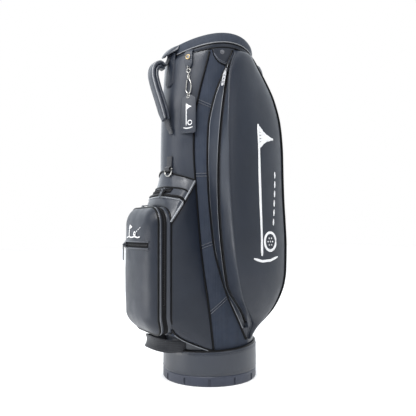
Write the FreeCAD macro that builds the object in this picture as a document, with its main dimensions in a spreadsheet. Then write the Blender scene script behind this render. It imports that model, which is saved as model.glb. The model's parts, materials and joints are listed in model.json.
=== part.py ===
"""Golf staff bag: full-length divided tube with side apparel pockets, front ball
pocket, arched rim, moulded foot, carry handle, zippers and small hardware.

Frame: +Z up, origin on the floor at the centre of the foot, -Y is the front
(handle and ball pocket), +X the right side.  Angles around the bag (psi) are
counted in degrees from the front, positive towards +X.  Millimetres.
"""
import FreeCAD, Part
import math
import os
import Sketcher
from FreeCAD import Placement, Rotation, Vector

doc = FreeCAD.newDocument("golf_staff_bag")
sheet = doc.addObject("Spreadsheet::Sheet", "dims")

# ---------------------------------------------------------------- dimensions
# alias, value, note
DIMENSIONS = [
    ("foot_radius", 122.0, "outer radius of the moulded foot"),
    ("foot_top", 25.0, "height of the visible foot ring"),
    ("foot_floor", 3.0, "underside of the foot's floor above the ground"),
    ("floor_thick", 4.0, "thickness of the foot's floor"),
    ("cup_inner", 110.5, "inner radius of the foot's upstand"),
    ("cup_outer", 114.0, "outer radius of the foot's upstand"),
    ("cup_top", 70.0, "top of the foot's upstand"),
    ("notch_count", 12.0, "grip notches around the foot"),
    ("notch_width", 6.0, "width of a grip notch"),
    ("notch_depth", 2.4, "depth of a grip notch"),
    ("rivet_radius", 2.0, "shank radius of a base rivet"),
    ("rivet_head", 4.2, "head radius of a base rivet"),
    ("rivet_height", 46.0, "height of the base rivets"),
    ("rivet_clear", 0.2, "clearance around a rivet shank"),
    ("rivet_count", 6.0, "rivets around the base"),
    ("band_inner", 115.8, "inner radius of the leather base band"),
    ("band_outer", 121.0, "outer radius of the leather base band"),
    ("band_top", 88.0, "mean height of the base piping on the band's upper edge"),
    ("band_slope", 2.6, "tilt of the base band's upper edge, degrees, up towards the back"),
    ("piping_radius", 2.6, "radius of the base piping"),
    ("tube_inner", 106.5, "inner radius of the stiff tube"),
    ("tube_outer", 109.6, "outer radius of the stiff tube"),
    ("lining_inner", 105.0, "inner radius of the lining"),
    ("lining_outer", 106.2, "outer radius of the lining"),
    ("pad_thick", 5.0, "thickness of the bottom pad"),
    ("pad_radius", 104.4, "radius of the bottom pad"),
    ("stay_radius", 2.5, "radius of a support stay rod"),
    ("stay_circle", 101.6, "radius on which the stays stand"),
    ("rim_inner", 104.6, "inner radius of the rim frame"),
    ("rim_mid", 110.2, "outer radius of the rim frame, inside the padded cover"),
    ("rim_outer", 114.6, "outer radius of the padded rim cover"),
    ("rim_low", 853.0, "height of the rim at front and back"),
    ("rim_arch", 272.8, "radius of the rim's side-to-side arch"),
    ("rim_height", 24.5, "height of the padded rim cover"),
    ("collar_height", 13.5, "height of the collar under the rim"),
    ("skin_inner", 110.3, "inner radius of the outer panels"),
    ("skin_outer", 113.3, "outer radius of the outer panels"),
    ("skin_low", 71.0, "lower edge of the outer panels"),
    ("bar_width", 9.0, "width of a top divider bar"),
    ("bar_height", 16.0, "height of the top divider bars"),
    ("bar_row", 34.0, "offset of the two cross bars from the centre"),
    ("sheet_thick", 1.6, "thickness of a full-length divider sheet"),
    ("zip_arc", 1101.0, "radius of the side pocket zipper's arc"),
    ("zip_centre_t", 1008.0, "tangential offset of that arc's centre"),
    ("zip_centre_z", 508.0, "height of that arc's centre"),
    ("pocket_angle", 104.5, "direction the side pockets face, from the front"),
    ("pocket_wall", 3.6, "wall thickness of the side pockets"),
    ("ball_half", 90.0, "half width of the ball pocket"),
    ("ball_low", 136.0, "lowest point of the ball pocket's face"),
    ("ball_high", 436.5, "highest point of the ball pocket's face"),
    ("tag_angle", 35.0, "direction in which the name tag hangs"),
    ("tag_width", 42.0, "width of the name tag"),
    ("tag_length", 96.0, "length of the name tag"),
    ("tag_thick", 3.0, "thickness of the name tag"),
    ("webbing_width", 51.0, "width of the lower grab strap"),
    ("webbing_thick", 2.6, "thickness of the lower grab strap"),
    ("snap_radius", 5.6, "radius of a rain hood snap"),
]


class Linked:
    """A number together with the sheet expression that gives it."""

    def __init__(self, value, text):
        self.value = float(value)
        self.text = text

    @staticmethod
    def of(number):
        if isinstance(number, Linked):
            return number
        return Linked(number, "%.6f" % float(number))

    def __add__(self, other):
        other = Linked.of(other)
        return Linked(self.value + other.value, "(%s + %s)" % (self.text, other.text))

    def __sub__(self, other):
        other = Linked.of(other)
        return Linked(self.value - other.value, "(%s - %s)" % (self.text, other.text))

    def __rsub__(self, other):
        return Linked.of(other) - self

    def __truediv__(self, other):
        other = Linked.of(other)
        return Linked(self.value / other.value, "(%s / %s)" % (self.text, other.text))

    def __neg__(self):
        return Linked(-self.value, "(0 - %s)" % self.text)


dims = {}
for line, (alias, amount, note) in enumerate(DIMENSIONS, 1):
    sheet.set("A%d" % line, note)
    sheet.set("B%d" % line, repr(amount))
    sheet.setAlias("B%d" % line, alias)
    dims[alias] = Linked(amount, "dims.%s" % alias)
doc.recompute()


def size(alias):
    """The sheet's own value of a dimension."""
    return float(sheet.get(alias))


parts = []    # the objects that are exported


# ------------------------------------------------------------ PartDesign kit
def new_body(label, exported=True):
    body = doc.addObject("PartDesign::Body", label)
    body.Label = label
    if exported:
        parts.append(body)
    return body


def origin_of(body, role):
    for item in body.Origin.OriginFeatures:
        if item.Role == role:
            return item
    raise RuntimeError(role)


def new_sketch(body, role="XY_Plane", lift=None):
    """Sketch on an origin plane, lifted along the plane's normal."""
    sketch = body.newObject("Sketcher::SketchObject", body.Name + "_sketch")
    sketch.AttachmentSupport = [(origin_of(body, role), "")]
    sketch.MapMode = "FlatFace"
    if lift is not None:
        lift = Linked.of(lift)
        sketch.AttachmentOffset = Placement(Vector(0, 0, lift.value), Rotation())
        sketch.setExpression("AttachmentOffset.Base.z", lift.text)
    return sketch


def add_linked(sketch, linked, *constraint):
    """Dimensional constraint driven by the linked number's expression."""
    index = sketch.addConstraint(Sketcher.Constraint(*constraint, linked.value))
    sketch.setExpression("Constraints[%d]" % index, linked.text)


def pin_point(sketch, geometry, end, x, y):
    """Fix a point by its distances from the origin; axis is used where one is 0."""
    for kind, linked, axis in (("DistanceX", Linked.of(x), -2), ("DistanceY", Linked.of(y), -1)):
        if abs(linked.value) < 1e-9:
            sketch.addConstraint(Sketcher.Constraint("PointOnObject", geometry, end, axis))
        else:
            add_linked(sketch, linked, kind, -1, 1, geometry, end)


def draw_poly(sketch, points):
    points = [(Linked.of(x), Linked.of(y)) for x, y in points]
    count = len(points)
    lines = []
    for i in range(count):
        (x0, y0), (x1, y1) = points[i], points[(i + 1) % count]
        segment = Part.LineSegment(Vector(x0.value, y0.value, 0), Vector(x1.value, y1.value, 0))
        lines.append(sketch.addGeometry(segment, False))
    for i in range(count):
        following = lines[(i + 1) % count]
        sketch.addConstraint(Sketcher.Constraint("Coincident", lines[i], 2, following, 1))
    for i in range(count):
        pin_point(sketch, lines[i], 1, *points[i])


def draw_circle(sketch, x, y, radius):
    x, y, radius = Linked.of(x), Linked.of(y), Linked.of(radius)
    circle = Part.Circle(Vector(x.value, y.value, 0), Vector(0, 0, 1), radius.value)
    geometry = sketch.addGeometry(circle, False)
    add_linked(sketch, radius, "Radius", geometry)
    pin_point(sketch, geometry, 3, x, y)


def draw_rect(sketch, x0, y0, x1, y1):
    draw_poly(sketch, [(x0, y0), (x1, y0), (x1, y1), (x0, y1)])


def pad(body, sketch, length, mid=False, reverse=False):
    length = Linked.of(length)
    extrusion = body.newObject("PartDesign::Pad", body.Name + "_pad")
    extrusion.Profile = sketch
    extrusion.Length = length.value
    extrusion.setExpression("Length", length.text)
    extrusion.Midplane = mid
    extrusion.Reversed = reverse
    doc.recompute()


def cut(body, sketch, depth=None):
    """Cut right through both ways or, given a depth, along the sketch's normal."""
    before = body.Shape.Volume
    removal = body.newObject("PartDesign::Pocket", body.Name + "_pocket")
    removal.Profile = sketch
    if depth is None:
        removal.Type = 1
    else:
        depth = Linked.of(depth)
        removal.Length = depth.value
        removal.setExpression("Length", depth.text)
    removal.Midplane = depth is None
    removal.Reversed = depth is not None
    doc.recompute()
    if not body.Shape.Volume < before - 1e-3:
        raise RuntimeError("pocket cut nothing in " + body.Label)
    return removal


def revolve(body, sketch):
    turned = body.newObject("PartDesign::Revolution", body.Name + "_rev")
    turned.Profile = sketch
    turned.ReferenceAxis = (sketch, ["V_Axis"])
    turned.Angle = 360.0
    doc.recompute()


def polar(body, original, count):
    pattern = body.newObject("PartDesign::PolarPattern", body.Name + "_polar")
    pattern.Originals = [original]
    pattern.Axis = (origin_of(body, "Z_Axis"), [""])
    pattern.Angle = 360
    pattern.Occurrences = int(count.value)
    pattern.setExpression("Occurrences", count.text)
    body.Tip = pattern
    doc.recompute()


ARCH_HALF = 140.0    # half width of the arch cutter, wider than the bag


def arch(x, low):
    """Height of the arch through low at sideways distance x."""
    radius = size("rim_arch")
    return low + radius - math.sqrt(radius ** 2 - x * x)


def cut_arch(body, low, above=True):
    """Cut everything above (or below) the side-to-side arch through low."""
    sketch = new_sketch(body, "XZ_Plane")
    radius = dims["rim_arch"]
    half = ARCH_HALF
    rise = radius.value - math.sqrt(radius.value ** 2 - half ** 2)
    end_z = low.value + rise
    far_z = 1000.0 if above else -40.0
    circle = Part.Circle(Vector(0, low.value + radius.value, 0), Vector(0, 0, 1), radius.value)
    start = math.atan2(rise - radius.value, -half)
    stop = math.atan2(rise - radius.value, half)
    corners = [Vector(half, end_z, 0), Vector(half, far_z, 0),
               Vector(-half, far_z, 0), Vector(-half, end_z, 0)]
    edges = [sketch.addGeometry(Part.ArcOfCircle(circle, start, stop), False)]
    for first, second in zip(corners, corners[1:]):
        edges.append(sketch.addGeometry(Part.LineSegment(first, second), False))
    bow, right, across, left = edges

    def constrain(*arguments):
        sketch.addConstraint(Sketcher.Constraint(*arguments))

    for i in range(4):
        constrain("Coincident", edges[i], 2, edges[(i + 1) % 4], 1)
    add_linked(sketch, radius, "Radius", bow)
    constrain("PointOnObject", bow, 3, -2)
    add_linked(sketch, low + radius, "DistanceY", -1, 1, bow, 3)
    constrain("DistanceX", -1, 1, right, 1, half)
    constrain("DistanceX", left, 2, -1, 1, half)
    constrain("Vertical", right)
    constrain("Vertical", left)
    constrain("DistanceY", -1, 1, right, 2, far_z)
    constrain("Horizontal", across)
    cut(body, sketch)


def pad_ring(body, base, outer, inner, height):
    sketch = new_sketch(body, "XY_Plane", base)
    draw_circle(sketch, 0, 0, outer)
    draw_circle(sketch, 0, 0, inner)
    pad(body, sketch, height)


# ------------------------------------------------------------ free-form kit
def feature(label, shape, place=None):
    item = doc.addObject("Part::Feature", label)
    item.Label = label
    item.Shape = shape
    item.Placement = place if place is not None else Placement()
    parts.append(item)


def both_sides(name, shape):
    feature(name + "_right", shape)
    feature(name + "_left", shape.mirror(Vector(0, 0, 0), Vector(1, 0, 0)))


def pchip(table, x):
    """Shape-preserving cubic through (x, y) pairs sorted by x, flat at its inner turns."""
    xs = [point[0] for point in table]
    ys = [point[1] for point in table]
    if x <= xs[0]:
        return ys[0]
    if x >= xs[-1]:
        return ys[-1]
    last = len(xs) - 1
    steps = [xs[i + 1] - xs[i] for i in range(last)]
    chords = [(ys[i + 1] - ys[i]) / steps[i] for i in range(last)]
    slopes = [0.0] * (last + 1)
    slopes[0], slopes[-1] = chords[0], chords[-1]
    for i in range(1, last):
        if chords[i - 1] * chords[i] > 0:
            before = 2 * steps[i] + steps[i - 1]
            after = steps[i] + 2 * steps[i - 1]
            slopes[i] = (before + after) / (before / chords[i - 1] + after / chords[i])
    k = 0
    while x > xs[k + 1]:
        k += 1
    u = (x - xs[k]) / steps[k]
    return ((1 + 2 * u) * (1 - u) ** 2 * ys[k] + u * (1 - u) ** 2 * steps[k] * slopes[k]
            + u * u * (3 - 2 * u) * ys[k + 1] + u * u * (u - 1) * steps[k] * slopes[k + 1])


def column(table, index, x):
    """One column of a table, interpolated at x in its first column."""
    return pchip([(entry[0], entry[index]) for entry in table], x)


def spread(low, high, count):
    """Count evenly spaced values from low to high."""
    return [low + (high - low) * k / (count - 1.0) for k in range(count)]


def around(radius, psi, z):
    angle = math.radians(psi)
    return Vector(radius * math.sin(angle), -radius * math.cos(angle), z)


def thick_sheet(rows):
    """Closed solid from rows of (outer, inner) pairs of points."""
    outer, inner = Part.BSplineSurface(), Part.BSplineSurface()
    outer.interpolate([[pair[0] for pair in row] for row in rows])
    inner.interpolate([[pair[1] for pair in row] for row in rows])
    faces = [outer.toShape(), inner.toShape()]
    outer_bounds, inner_bounds = outer.bounds(), inner.bounds()
    for k in (0, 1):
        faces.append(Part.makeRuledSurface(outer.uIso(outer_bounds[k]).toShape(),
                                           inner.uIso(inner_bounds[k]).toShape()))
    for k in (2, 3):
        faces.append(Part.makeRuledSurface(outer.vIso(outer_bounds[k]).toShape(),
                                           inner.vIso(inner_bounds[k]).toShape()))
    shell = Part.makeShell(faces)
    shell.sewShape()
    solid = Part.Solid(shell)
    if solid.Volume < 0:
        solid.reverse()
    solid = solid.copy()
    if not solid.isValid():
        solid.fix(1e-6, 1e-6, 1e-4)
    return solid


# ================================================================= THE BASE
FLOOR_TOP = dims["foot_floor"] + dims["floor_thick"]
TUBE_BASE = FLOOR_TOP + 0.5
INSIDE_BASE = FLOOR_TOP + dims["pad_thick"] + 1.0    # foot of the stays and divider sheets
RIVET_GAP = 0.15           # between a rivet's inner faces and what they lie on
RIVET_HEAD_THICK = 1.3
BAND_EDGE_DROP = 3.2       # band's upper edge below the middle of the piping


def bore_rivet_holes(body):
    sketch = new_sketch(body, "YZ_Plane")
    draw_circle(sketch, 0, dims["rivet_height"], dims["rivet_radius"] + dims["rivet_clear"])
    polar(body, cut(body, sketch, dims["foot_radius"]), dims["rivet_count"])


def build_foot():
    """Moulded foot: floor, ground ring and upstand turned as one piece."""
    foot = new_body("base_foot")
    radius, top = dims["foot_radius"], dims["foot_top"]
    sketch = new_sketch(foot, "XZ_Plane")
    draw_poly(sketch, [
        (0, dims["foot_floor"]), (radius - 16, dims["foot_floor"]), (radius - 13.5, 0),
        (radius - 3, 0), (radius, 3.5), (radius, top - 2), (radius - 1.5, top),
        (dims["cup_outer"], top), (dims["cup_outer"], dims["cup_top"]),
        (dims["cup_inner"], dims["cup_top"]), (dims["cup_inner"], FLOOR_TOP), (0, FLOOR_TOP)])
    revolve(foot, sketch)
    # grip notches, open at the ground and closed 6 below the ring's top
    sketch = new_sketch(foot)
    half = dims["notch_width"] / 2
    draw_rect(sketch, radius - dims["notch_depth"], -half, radius + 4, half)
    polar(foot, cut(foot, sketch, top - 6), dims["notch_count"])
    bore_rivet_holes(foot)


def build_rivets():
    """Rivets that hold the tube in the foot's upstand, under the leather band."""
    rivet = new_body("rivet_pattern_piece", exported=False)
    shank_length = dims["cup_outer"] - dims["lining_outer"] + 0.6
    for start, radius, length in (
            (dims["lining_outer"], dims["rivet_radius"], shank_length),
            (dims["cup_outer"], dims["rivet_head"], RIVET_HEAD_THICK)):
        sketch = new_sketch(rivet, "YZ_Plane", start + RIVET_GAP)
        draw_circle(sketch, 0, dims["rivet_height"], radius)
        pad(rivet, sketch, length)
    one = rivet.Shape.copy()
    turned = []
    for k in range(int(size("rivet_count"))):
        copy = one.copy()
        copy.rotate(Vector(0, 0, 0), Vector(0, 0, 1), 360.0 * k / size("rivet_count"))
        turned.append(copy)
    feature("base_rivets", Part.makeCompound(turned))


def build_band():
    """Leather band around the foot, its upper edge sloping up to the back."""
    band = new_body("base_band")
    sketch = new_sketch(band, "XZ_Plane")
    draw_rect(sketch, dims["band_inner"], dims["foot_top"] + 0.5,
              dims["band_outer"], dims["band_top"] + 20)
    revolve(band, sketch)
    reach = 140
    rise = reach * math.tan(math.radians(size("band_slope")))
    sketch = new_sketch(band, "YZ_Plane")
    draw_poly(sketch, [(-reach, dims["band_top"] - rise - BAND_EDGE_DROP),
                       (reach, dims["band_top"] + rise - BAND_EDGE_DROP),
                       (reach, 200), (-reach, 200)])
    cut(band, sketch)


def build_piping():
    piping = doc.addObject("Part::Torus", "base_piping")
    piping.Label = "base_piping"
    piping.setExpression("Radius1", "dims.band_inner + dims.piping_radius + 0.3")
    piping.setExpression("Radius2", "dims.piping_radius")
    piping.Placement = Placement(Vector(0, 0, size("band_top")),
                                 Rotation(Vector(1, 0, 0), size("band_slope")))
    piping.setExpression("Placement.Base.z", "dims.band_top")
    parts.append(piping)


def build_bottom_pad():
    cushion = doc.addObject("Part::Cylinder", "bottom_pad")
    cushion.Label = "bottom_pad"
    cushion.setExpression("Radius", "dims.pad_radius")
    cushion.setExpression("Height", "dims.pad_thick")
    cushion.setExpression("Placement.Base.z", "dims.foot_floor + dims.floor_thick + 0.3")
    parts.append(cushion)


build_foot()
build_rivets()
build_band()
build_piping()
build_bottom_pad()

# ================================================== TUBE, DIVIDERS AND RIM
ROUGH_TUBE = 900           # length of the tube before its top is arched
ROUGH_RIM = (780, 120)     # base and height of a rim part before it is arched
COVER_GAP = 0.3            # between the rim frame and its padded cover
STAY_TOP = 806.0
STAY_ANGLES = (62, 118, 242, 298)
SHEET_REACH = 97.5         # radius within which the divider sheets end
BAR_REACH = 104.0          # radius within which the divider bars end

RIM_FOOT = dims["rim_low"] - dims["rim_height"]    # lower edge of the padded cover
TUBE_TOP = RIM_FOOT - 6.5
COLLAR_LOW = RIM_FOOT - dims["collar_height"]
BAR_TOP = dims["rim_low"] - 8
BAR_LOW = BAR_TOP - dims["bar_height"]


def build_tube(label, outer, inner):
    body = new_body(label)
    pad_ring(body, TUBE_BASE, outer, inner, ROUGH_TUBE)
    cut_arch(body, TUBE_TOP)
    return body


def divider_outline(half_thick, reach, side_gap):
    """One rib fore and aft crossed by two ribs, seen from above."""
    row = dims["bar_row"]
    end = math.sqrt(reach ** 2 - (size("bar_row") + half_thick.value) ** 2) - side_gap
    half_turn = [
        (-half_thick, -reach), (half_thick, -reach),
        (half_thick, -row - half_thick), (end, -row - half_thick),
        (end, -row + half_thick), (half_thick, -row + half_thick),
        (half_thick, row - half_thick), (end, row - half_thick),
        (end, row + half_thick), (half_thick, row + half_thick)]
    return half_turn + [(-x, -y) for x, y in half_turn]


def arched_ring(label, outer, inner, top, low, exported=True):
    """Ring whose upper and lower edges follow the rim's arch."""
    body = new_body(label, exported)
    base, height = ROUGH_RIM
    pad_ring(body, base, outer, inner, height)
    cut_arch(body, top)
    cut_arch(body, low, above=False)
    return body


bore_rivet_holes(build_tube("tube_shell", dims["tube_outer"], dims["tube_inner"]))
build_tube("inner_lining", dims["lining_outer"], dims["lining_inner"])

# four fibreglass stays between the foot and the rim
feature("support_stays", Part.makeCompound([
    Part.makeCylinder(size("stay_radius"), STAY_TOP - INSIDE_BASE.value,
                      around(size("stay_circle"), psi, INSIDE_BASE.value), Vector(0, 0, 1))
    for psi in STAY_ANGLES]))

# full-length divider sheets: one fore-and-aft, two across
divider_sheets = new_body("divider_sheets")
outline = new_sketch(divider_sheets, "XY_Plane", INSIDE_BASE)
draw_poly(outline, divider_outline(dims["sheet_thick"] / 2, SHEET_REACH, side_gap=0.0))
pad(divider_sheets, outline, 850)
cut_arch(divider_sheets, BAR_LOW - 0.6)

arched_ring("rim_frame", dims["rim_mid"], dims["rim_inner"],
            top=dims["rim_low"] - 3.4, low=RIM_FOOT - 6.0)

# divider bars at the top, over the sheets
divider_frame = new_body("divider_frame")
outline = new_sketch(divider_frame, "XY_Plane", ROUGH_RIM[0])
draw_poly(outline, divider_outline(dims["bar_width"] / 2, BAR_REACH, side_gap=0.3))
pad(divider_frame, outline, ROUGH_RIM[1])
cut_arch(divider_frame, BAR_TOP)
cut_arch(divider_frame, BAR_LOW, above=False)

# padded cover: an upside-down channel over the frame
rim_cover_wall = arched_ring("rim_cover_wall", dims["rim_outer"], dims["rim_mid"] + COVER_GAP,
                             top=dims["rim_low"], low=RIM_FOOT, exported=False)
rim_cover_top = arched_ring("rim_cover_top", dims["rim_mid"] + COVER_GAP, dims["rim_inner"] - 3,
                            top=dims["rim_low"], low=dims["rim_low"] - 3.1, exported=False)
rim_cover = doc.addObject("Part::Fuse", "rim_cover")
rim_cover.Label = "rim_cover"
rim_cover.Base = rim_cover_wall
rim_cover.Tool = rim_cover_top
doc.recompute()
parts.append(rim_cover)

arched_ring("collar_band", dims["skin_outer"] + 0.6, dims["skin_inner"],
            top=RIM_FOOT - 0.4, low=COLLAR_LOW)

# grab lip moulded on the front of the rim, its ends cut off obliquely
LIP_SECTION = [    # y, z
    (-100, 829.5), (-120, 827.5), (-131, 833), (-137.5, 842), (-138.5, 849), (-134, 852.6),
    (-100, 852.6)]
LIP_END_CUT = [(22, -145), (45, -145), (45, -100), (38, -108)]    # x, y on the right

rim_lip = new_body("rim_lip")
outline = new_sketch(rim_lip, "YZ_Plane")
draw_poly(outline, LIP_SECTION)
pad(rim_lip, outline, 74, mid=True)
outline = new_sketch(rim_lip)
draw_circle(outline, 0, 0, dims["rim_outer"] + 0.4)
cut(rim_lip, outline)
for hand in (1, -1):
    outline = new_sketch(rim_lip)
    draw_poly(outline, [(hand * x, y) for x, y in LIP_END_CUT])
    cut(rim_lip, outline)

# ================================================== OUTER PANELS OF THE TUBE
BAND_FRONT = [    # height, angle of the fabric stay band's front edge
    (72, 66.0), (195, 59.0), (305, 51.0), (487, 43.0), (581, 40.0), (634, 40.0), (711, 46.0),
    (800, 57.0), (840, 62.0)]
BAND_REAR = 104.3          # angle of the stay band's rear edge
SPINE_EDGES = (104.8, 255.2)
FRONT_SWELL = [    # height, swell of the front panel at its middle
    (500, 22.0), (560, 23.0), (620, 22.0), (680, 19.5), (740, 14.0), (790, 9.0), (815, 7.0),
    (840, 5.5)]
PANEL_TOP = COLLAR_LOW.value - 1.5    # top edge of the panels at front and back


def band_front(z):
    return pchip(BAND_FRONT, z)


def curved_panel(edge_a, edge_b, z_low, z_high, rows, cols, swell=None, arched=True):
    """Panel on the tube between two edge angles given by height.

    An arched panel's rows are raised from their heights below z_high so that
    the last one follows the arch under the collar.
    """
    grid = []
    for j in range(rows):
        share = j / (rows - 1.0)
        level = z_low + (z_high - z_low) * share
        row = []
        for i in range(cols):
            start, stop = edge_a(level), edge_b(level)
            psi = start + (stop - start) * (i / (cols - 1.0))
            z = level
            if arched:
                top = arch(size("skin_outer") * math.sin(math.radians(psi)), PANEL_TOP)
                z = z_low + (top - z_low) * share
            extra = swell(psi, z) if swell else 0.0
            row.append((around(size("skin_outer") + extra, psi, z),
                        around(size("skin_inner") + extra * 0.92, psi, z)))
        grid.append(row)
    return thick_sheet(grid)


def front_swell(psi, z):
    share = min(1.0, abs(psi) / (band_front(z) - 0.4))
    return pchip(FRONT_SWELL, z) * max(0.0, math.cos(math.radians(90.0 * share))) ** 1.3


feature("front_panel", curved_panel(
    lambda z: 1.0 - band_front(z), lambda z: band_front(z) - 1.0,
    508.0, 814.0, rows=18, cols=17, swell=front_swell))
both_sides("stay_band", curved_panel(
    band_front, lambda z: BAND_REAR, size("skin_low"), 820.0, rows=40, cols=11))
feature("spine_panel", curved_panel(
    lambda z: SPINE_EDGES[0], lambda z: SPINE_EDGES[1],
    size("skin_low"), 820.0, rows=10, cols=17))
feature("lower_front_panel", curved_panel(
    lambda z: 0.4 - band_front(z), lambda z: band_front(z) - 0.4,
    size("skin_low"), 131.0, rows=5, cols=11, arched=False))

# ======================================================= SIDE APPAREL POCKETS
# A side pocket is described by n, the distance from the bag's axis in the
# direction the pocket faces, and t, the distance across it, positive to the rear.
# Sign -1 is its front wall or zipper, 1 its rear one.
POCKET_HALF = [    # height, half angle between the feet of the pocket's walls
    (118, 4.0), (140, 9.0), (160, 13.0), (184, 17.5), (215, 22.0), (245, 26.5), (280, 31.5),
    (334, 38.0), (400, 42.0), (487, 45.5), (560, 46.5), (633, 45.5), (695, 40.0), (760, 29.0),
    (800, 20.0), (829, 14.0)]
SIDE_TABLE = [     # height, n of the face, t of its front and rear edges
    (126, 133.0, 6, 22), (140, 139.0, 0, 31), (160, 151.0, -14, 45), (184, 165.0, -36, 60),
    (215, 175.0, -54, 73), (245, 180.0, -67, 86), (280, 182.0, -77, 93), (340, 182.0, -88, 97),
    (400, 180.0, -94, 98), (460, 177.0, -97, 98), (520, 175.0, -99, 99), (574, 174.0, -99, 99),
    (615, 172.0, -98, 98), (655, 170.0, -95, 95), (715, 163.0, -86, 87), (760, 154.0, -74, 74),
    (800, 144.0, -53, 48), (824, 133.5, -33, 31)]
FACE_SPAN = (126.0, 824.0)    # heights covered by the face
WALL_SPAN = (172.0, 820.0)    # heights covered by the walls
ZIP_SPAN = (232, 812)         # heights at which a wall follows the zipper
TAPE_SPAN = (246.0, 784.0)    # heights covered by the zipper tape
SIDE_LEVELS = 28
SIDE_COLS = 13
FACE_THICK = 3.4
CREASE_DROP = 12.5            # crease of a wall behind the face
ZIP_N = 127.0                 # n of the zipper at the height of its arc's centre
ZIP_TILT = -0.008             # lean of the zipper's plane
TAPE_SLOPE = 0.30             # change of t with n across the tape
TAPE_HALF = 7.0               # half of the stretch of wall sloped like the tape
TAPE_LIFT = (3.6, 2.0)        # outer and inner face of the tape off the zipper's line


def side(n, t, z):
    angle = math.radians(size("pocket_angle"))
    return Vector(n * math.sin(angle) + t * math.cos(angle),
                  -n * math.cos(angle) + t * math.sin(angle), z)


def side_levels(span):
    """Height, n of the face and t of its two edges at even steps."""
    return [(z,) + tuple(column(SIDE_TABLE, k, z) for k in (1, 2, 3))
            for z in spread(*span, SIDE_LEVELS)]


def zip_mid(z, sign):
    """Centre line of a side pocket zipper, a plane arc, as n and t."""
    rise = z - size("zip_centre_z")
    along = rise * math.sqrt(1 + ZIP_TILT * ZIP_TILT)
    t = size("zip_centre_t") - math.sqrt(size("zip_arc") ** 2 - along * along)
    return ZIP_N - rise * ZIP_TILT, -sign * t


def wall_knots(z, n_face, t_edge, sign):
    """Wall section from foot to crease: share of the way, n, t.

    Beside the zipper the section passes through it with the tape's slope.
    """
    angle = math.radians(pchip(POCKET_HALF, z))
    radius = size("skin_outer") + 1.4 + size("pocket_wall")
    foot_n, foot_t = radius * math.cos(angle), sign * radius * math.sin(angle)
    crease_n = max(n_face - CREASE_DROP, foot_n + 4)
    foot, crease = (0.0, foot_n, foot_t), (1.0, crease_n, t_edge)
    if not ZIP_SPAN[0] <= z <= ZIP_SPAN[1]:
        return [foot, (0.5, 0.5 * (foot_n + crease_n), 0.5 * (foot_t + t_edge)), crease]
    run = crease_n - foot_n
    zip_n, zip_t = zip_mid(z, sign)
    zip_n = min(max(zip_n, foot_n + 0.25 * run), foot_n + 0.86 * run)
    half = min(TAPE_HALF, 0.45 * run)
    near_n = max(zip_n - half, foot_n + 0.5)
    far_n = min(zip_n + half, crease_n - 0.5)
    return [foot,
            (0.36, near_n, zip_t + sign * TAPE_SLOPE * (near_n - zip_n)),
            (0.64, far_n, zip_t + sign * TAPE_SLOPE * (far_n - zip_n)),
            crease]


def pocket_wall(sign):
    """One wall of a side pocket, thickened inwards along its own section."""
    thick = size("pocket_wall")
    least_radius = size("skin_outer") + 2.2
    rows = []
    for z, n_face, t_front, t_rear in side_levels(WALL_SPAN):
        knots = wall_knots(z, n_face, t_front if sign < 0 else t_rear, sign)
        section = [(column(knots, 1, u), column(knots, 2, u))
                   for u in spread(0.0, 1.0, SIDE_COLS)]
        row = []
        for i, (n, t) in enumerate(section):
            n_before, t_before = section[max(0, i - 1)]
            n_after, t_after = section[min(SIDE_COLS - 1, i + 1)]
            run_n, run_t = n_after - n_before, t_after - t_before
            length = math.hypot(run_n, run_t)
            n_in = n + thick * sign * run_t / length
            t_in = t - thick * sign * run_n / length
            # the inner face stays clear of the outer panels
            radius = math.hypot(n_in, t_in)
            if radius < least_radius:
                n_in *= least_radius / radius
                t_in *= least_radius / radius
            row.append((side(n, t, z), side(n_in, t_in, z)))
        rows.append(row)
    return thick_sheet(rows)


def pocket_face():
    rows = []
    for z, n_face, t_front, t_rear in side_levels(FACE_SPAN):
        row = []
        for u in spread(-1.0, 1.0, SIDE_COLS):
            t = 0.5 * (t_front + t_rear) + 0.5 * (t_rear - t_front + 2) * u
            n = n_face - 5.5 * abs(u) ** 2.6
            row.append((side(n, t, z), side(n - FACE_THICK, t * 0.995, z)))
        rows.append(row)
    return thick_sheet(rows)


def pocket_tape(sign):
    """Zipper tape with its teeth: a strip just over the wall along the zipper."""
    rows = []
    for z in spread(*TAPE_SPAN, 23):
        zip_n, zip_t = zip_mid(z, sign)
        row = []
        for across in (-6.0, -3.0, 0.0, 3.0, 6.0):
            t = zip_t + sign * TAPE_SLOPE * across
            row.append(tuple(side(zip_n + across, t + sign * lift, z) for lift in TAPE_LIFT))
        rows.append(row)
    return thick_sheet(rows)


both_sides("apparel_gusset", Part.makeCompound([pocket_wall(-1), pocket_wall(1)]))
both_sides("apparel_face", pocket_face())
both_sides("apparel_zippers", Part.makeCompound([pocket_tape(-1), pocket_tape(1)]))

# ================================================== BALL AND VALUABLES POCKETS
BALL_TABLE = [    # height, half width, distance of the face in front of the axis
    (136, 38.0, 205.0), (146, 56.0, 209.0), (165, 73.0, 214.0), (200, 85.0, 217.5),
    (250, 89.5, 219.5), (310, 90.0, 220.0), (360, 89.0, 220.0), (395, 85.0, 218.0),
    (415, 77.0, 215.0), (428, 65.0, 211.5), (436.5, 46.0, 206.0)]
BALL_ROWS = [(z, column(BALL_TABLE, 1, z), column(BALL_TABLE, 2, z))
             for z in spread(size("ball_low"), size("ball_high"), 25)]
CROWN_EDGE = 0.83         # share of the half width where the gentle crown ends
CROWN_DROP = 8.0          # fall of the face at that edge
FACE_ZIP_Z = 344.0

SHOULDER_ROWS = [    # height, half width, distance of the middle in front of the axis
    (441, 84.0, 163.0), (450, 83.0, 162.0), (462, 80.0, 157.0), (475, 75.0, 148.0),
    (488, 68.0, 142.0), (503, 60.0, 139.5)]
SHOULDER_FALL = 17.0      # fall from the middle to the side edges
SHOULDER_ZIP_Z = 478.0


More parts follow.
